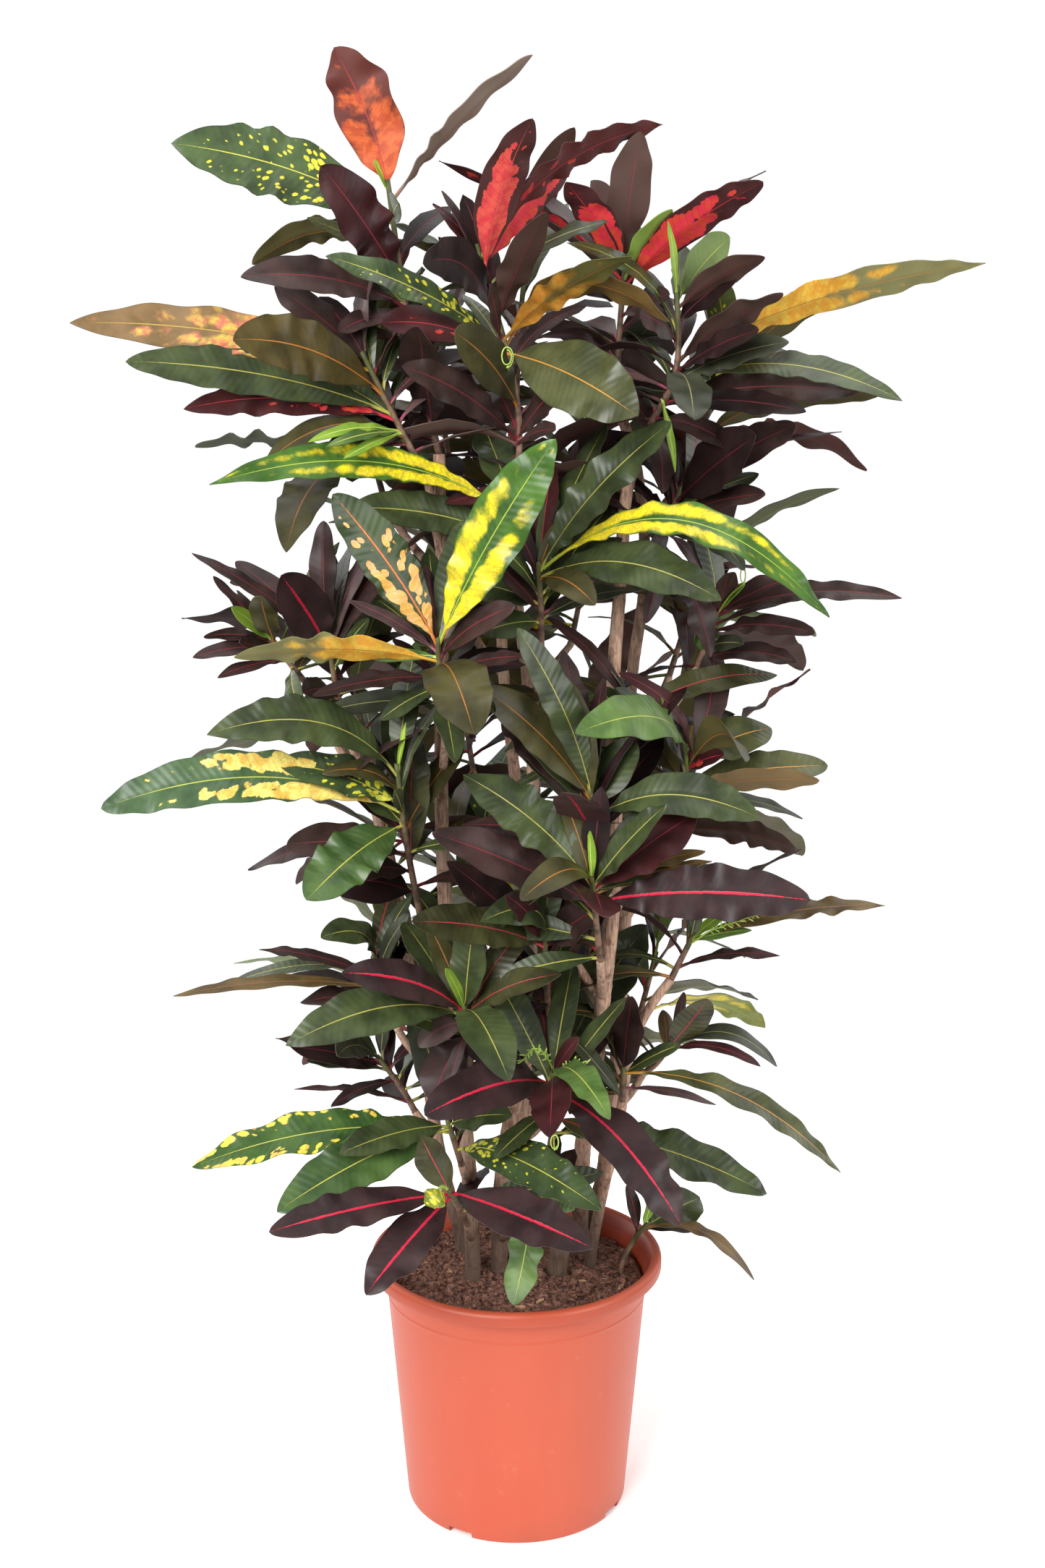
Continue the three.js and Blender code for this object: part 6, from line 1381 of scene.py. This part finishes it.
def inner_leaves(stem, count, reach, middle_turn, spread_turn, draw):
    """Shorter leaves close to a stem, which fill the plant: up to count of them, about reach long."""
    axis = (stem[-1] - stem[0]).normalized()
    start = next(draw) * 360
    for k in range(count):
        share = (k + 0.5) / count
        turn = (start + k * GOLDEN_TURN) % 360 / 360 - 0.5
        round_about = math.radians(middle_turn + turn * spread_turn)
        climb = math.radians(INNER_TOP_CLIMB - INNER_CLIMB_FALL * share + (next(draw) - 0.5) * 30)
        length = reach * varied(draw, INNER_LENGTH)
        base = stem_point(stem, 0.98 - 0.96 * share)
        tip = base + direction(round_about, climb) * length
        if not room_for(tip) or not room_for(base.lerp(tip, 0.6)):
            continue
        bow = varied(draw, INNER_BOW)
        curve = LeafCurve(base, tip, axis, bow, roll=math.radians((next(draw) - 0.5) * INNER_ROLL))
        width = length * varied(draw, INNER_SLENDER)
        colours = UPPER_COLOURS if base.z > UPPER_FROM else LOWER_COLOURS
        yield curve, width, colours[int(next(draw) * len(colours))], plain_blank


print(len(FRONT_STEPS), "steps for a front leaf,", len(BACK_STEPS), "for a back leaf")

# %% [markdown]
# The young stem of a shoot is green-brown. A few tender things grow beside the leaves: thread-like
# curls, arched sprays of tiny green buds, and one young leaf that is still rolled up. The threads are
# bars along a short path, and each bud is an icosphere drawn out to a point.

# %% The young stems, the curls and the sprays
young = Finish("young_stem")
streak = young.noise(young.place(), 120, 3)
young_share = young.parts("blade_share")[1]
woody = young.mix(young.ramp(streak, 0.35, 0.65), "#4a3427", "#7d5f4b")
green_tip = young.mix(streak, "#3a3a1c", "#5b622e")
young_tone = young.mix(young.ramp(young_share, 0.45, 0.9), woody, green_tip)
leaf_finishes["young_stem"] = young.set(Base_Color=young_tone, Roughness=0.6)
tender = Finish("tender_green")
blend = tender.noise(tender.place(), 160, 3)
tender_tone = tender.mix(blend, "#7f9f3a", "#b3c95e")
leaf_finishes["tender_green"] = tender.set(Base_Color=tender_tone, Roughness=0.45)

THREAD_RADIUS, BUD_RADIUS, ROLL_TURNS = 0.75, 0.75, 1.7
LOOP_STEPS = 12
CURLS = {
    "shoot_top": [{"at": 0.62, "middle": (-7.5, 1054, 128), "reach": (5, 8.5), "turns": 1.5}],
    "shoot_low_node": [{"at": 0.96, "middle": (35, 346, 248), "reach": (3.5, 7), "turns": 1.2}],
    "shoot_right_low": [{"at": 0.9, "middle": (197, 868, 30), "reach": (2.5, 8), "turns": 1.1}],
}
SPRAYS = {
    "shoot_low_node": [[(35.8, 411, 146), (26.5, 430, 160), (16, 436, 168), (5.4, 424, 174)],
                       [(35.8, 411, 146), (43, 417, 158), (53, 423, 164), (63, 421, 168)]],
    "shoot_cut_branch": [[(158, 536, 32), (176, 548, 42), (198, 556, 48), (216, 563, 52)]],
}
ROLLED_LEAVES = {"shoot_base_front": [{"middle": (-76.4, 290.4, 205), "radius": 10, "colouring": "rolled"}]}


def add_curl(bm, stem, curl, slot):
    """A thread that leaves the stem and ends in a loop that faces the front."""
    middle = seen(*curl["middle"])
    wide, high = curl["reach"]
    loop = []
    for k in range(round(LOOP_STEPS * curl["turns"]) + 1):
        turn = math.tau * k / LOOP_STEPS - math.pi / 2
        shrink = 1 - 0.25 * k / LOOP_STEPS
        loop.append(middle + Vector((wide * math.cos(turn) * shrink, -0.16 * k,
                                     high * math.sin(turn) * shrink)))
    root = stem_point(stem, curl["at"])
    path = smooth_path([root, root.lerp(loop[0], 0.5) + Vector((0, 0, 3)), *loop], 1.6)
    bar(bm, path, tapering(path, THREAD_RADIUS, 1.3, 0.7), 6, slot)


def add_spray(bm, points, slot, draw):
    """An arched stalk with pointed buds all round its outer half."""
    path = smooth_path([seen(*point) for point in points], 1.5)
    bar(bm, path, tapering(path, THREAD_RADIUS, 1.2, 0.7), 6, slot)
    for k in range(len(path) // 3, len(path)):
        ahead = (path[min(k + 1, len(path) - 1)] - path[k - 1]).normalized()
        tilt = Matrix.Rotation(math.radians(k * GOLDEN_TURN), 4, ahead)
        outward = (tilt @ Matrix.Rotation(1.0, 4, ahead.orthogonal()) @ ahead).normalized()
        long = 2.2 + 1.4 * next(draw)
        turn = outward.to_track_quat("Z", "Y").to_matrix().to_4x4()
        at = Matrix.Translation(path[k] + outward * long)
        tiny_ball(bm, at @ turn @ Matrix.Diagonal((BUD_RADIUS, BUD_RADIUS, long, 1)), slot)


def add_rolled_leaf(bm, stem, rolled, slot, thread_slot, blank, draw):
    """A young leaf rolled up on itself, on a short stalk from the tip of the stem."""
    middle, radius = seen(*rolled["middle"]), rolled["radius"]
    stalk = smooth_path([stem[-1], stem[-1].lerp(middle, 0.5) + Vector((0, 0, 7)), middle], 4)
    bar(bm, stalk, [1.5] * len(stalk), 8, thread_slot)
    axis = Vector((-0.75, -0.55, -0.35)).normalized()
    one = axis.orthogonal().normalized()
    two = axis.cross(one)
    seed = next(draw)
    verts, measure, portion = blank_copy(bm, blank, slot)
    for vert in verts:
        x, share, skin = vert.co
        turn = math.tau * ROLL_TURNS * share + 0.5 * x
        crease = 1 + 0.14 * math.sin(9 * turn + 5 * x)
        reach = radius * crease * (1 - 0.55 * share) * math.sqrt(1.04 - x * x) + skin * BLADE_THICKNESS / 2
        side = x * radius * (0.95 - 0.25 * share)
        vert.co = middle + axis * side + one * (math.cos(turn) * reach) + two * (math.sin(turn) * reach)
        vert[measure] = (x * 1.6, share * 5, seed)
        vert[portion] = (x, 0.1 + 0.3 * share, 0.0 if skin > 0 else 1.0)


print("curls:", sum(map(len, CURLS.values())), "sprays:", sum(map(len, SPRAYS.values())))

# %% [markdown]
# Every shoot becomes one piece: its stem, its leaves and its tender parts, with the colourings that
# they use. A front shoot's leaves come from the photo, and a back shoot's from the seeded rule.

# %% All the leafy shoots
SLOTS = {part["node"]: part["material_slot"] for part in frame["record"]["subparts"]}


def grow_shoot(shoot, leaves, draw):
    """One piece: the stem, with its own corners at the root, and all its leaves."""
    bm = bmesh.new()
    add_measures(bm)
    stem = shoot_stem(shoot)
    points = list(stem)
    if "foot" in shoot:
        x, y = shoot["foot"]
        points = [Vector((x, y, SOIL_LEVEL - ROOT_DEPTH)), Vector((x, y, SOIL_MOUND_HEIGHT)), *points]
    points.append(stem[-1] + (stem[-1] - stem[-2]).normalized() * 7)
    path = smooth_path(points, 4)
    radii = tapering(path, STEM_RADIUS, 1, 0.25)
    radii[-1] = 0.6
    bar(bm, path, radii, 10, closed_start=True)
    portion = bm.verts.layers.float_vector["blade_share"]
    for i, vert in enumerate(bm.verts):
        vert[portion] = (0, i / len(bm.verts), 0)
    used = ["young_stem"]

    def slot_of(name):
        if name not in used:
            used.append(name)
        return used.index(name)

    for curve, width, colouring, blank in leaves:
        add_leaf(bm, curve, width, slot_of(colouring), draw, blank)
    for curl in CURLS.get(shoot["name"], ()):
        add_curl(bm, stem, curl, slot_of("tender_green"))
    for points in SPRAYS.get(shoot["name"], ()):
        add_spray(bm, points, slot_of("tender_green"), draw)
    for rolled in ROLLED_LEAVES.get(shoot["name"], ()):
        slots = slot_of(rolled["colouring"]), slot_of("tender_green")
        add_rolled_leaf(bm, stem, rolled, *slots, small_blank, draw)
    finishes = [leaf_finishes[name] for name in used]
    finished_piece("leafy_" + shoot["name"], bm, finishes, SLOTS[shoot["name"]], [shoot["name"]])
    return len(leaves)


UPPER_INNER_COUNT, LOWER_INNER_COUNT, INNER_REACH = 20, 13, 100
BACK_INNER_COUNT, BACK_INNER_REACH = 12, 140
BACKWARD, FRONT_SPREAD, BACK_SPREAD = 90, 200, 320

grown = 0
for number, shoot in enumerate(FRONT_SHOOTS):
    stem = shoot_stem(shoot)
    leaves = [*front_leaves(shoot, stem, corners_of(shoot["name"]))]
    if "foot" not in shoot:
        count = UPPER_INNER_COUNT if stem[0].z > UPPER_FROM else LOWER_INNER_COUNT
        leaves += inner_leaves(stem, count, INNER_REACH, BACKWARD, FRONT_SPREAD, draws_from(3000 + number))
    grown += grow_shoot(shoot, leaves, draws_from(1000 + number))
for number, shoot in enumerate(BACK_SHOOTS):
    stem = shoot_stem(shoot)
    leaves = [*back_leaves(shoot, stem, corners_of(shoot["name"]), number)]
    outward = math.degrees(math.atan2(stem[0].y, stem[0].x))
    leaves += inner_leaves(stem, BACK_INNER_COUNT, BACK_INNER_REACH, outward, BACK_SPREAD,
                           draws_from(4000 + number))
    grown += grow_shoot(shoot, leaves, draws_from(2000 + number))
for blank in (fine_blank, small_blank, plain_blank):
    bpy.data.meshes.remove(blank)
print("grew", grown, "leaves")

# %% [markdown]
# ## The end
# The boxes of the imported solids and of the visual model are both measured and printed. The visual
# model has to stay inside the box of the imported solids, give or take a little.

# %% The sizes of both boxes
bpy.context.view_layer.update()
new_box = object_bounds()
sizes = {"cad": [list(corner) for corner in cad_box], "visual": [list(corner) for corner in new_box]}
print("solid box", sizes["cad"], "visual box", sizes["visual"])
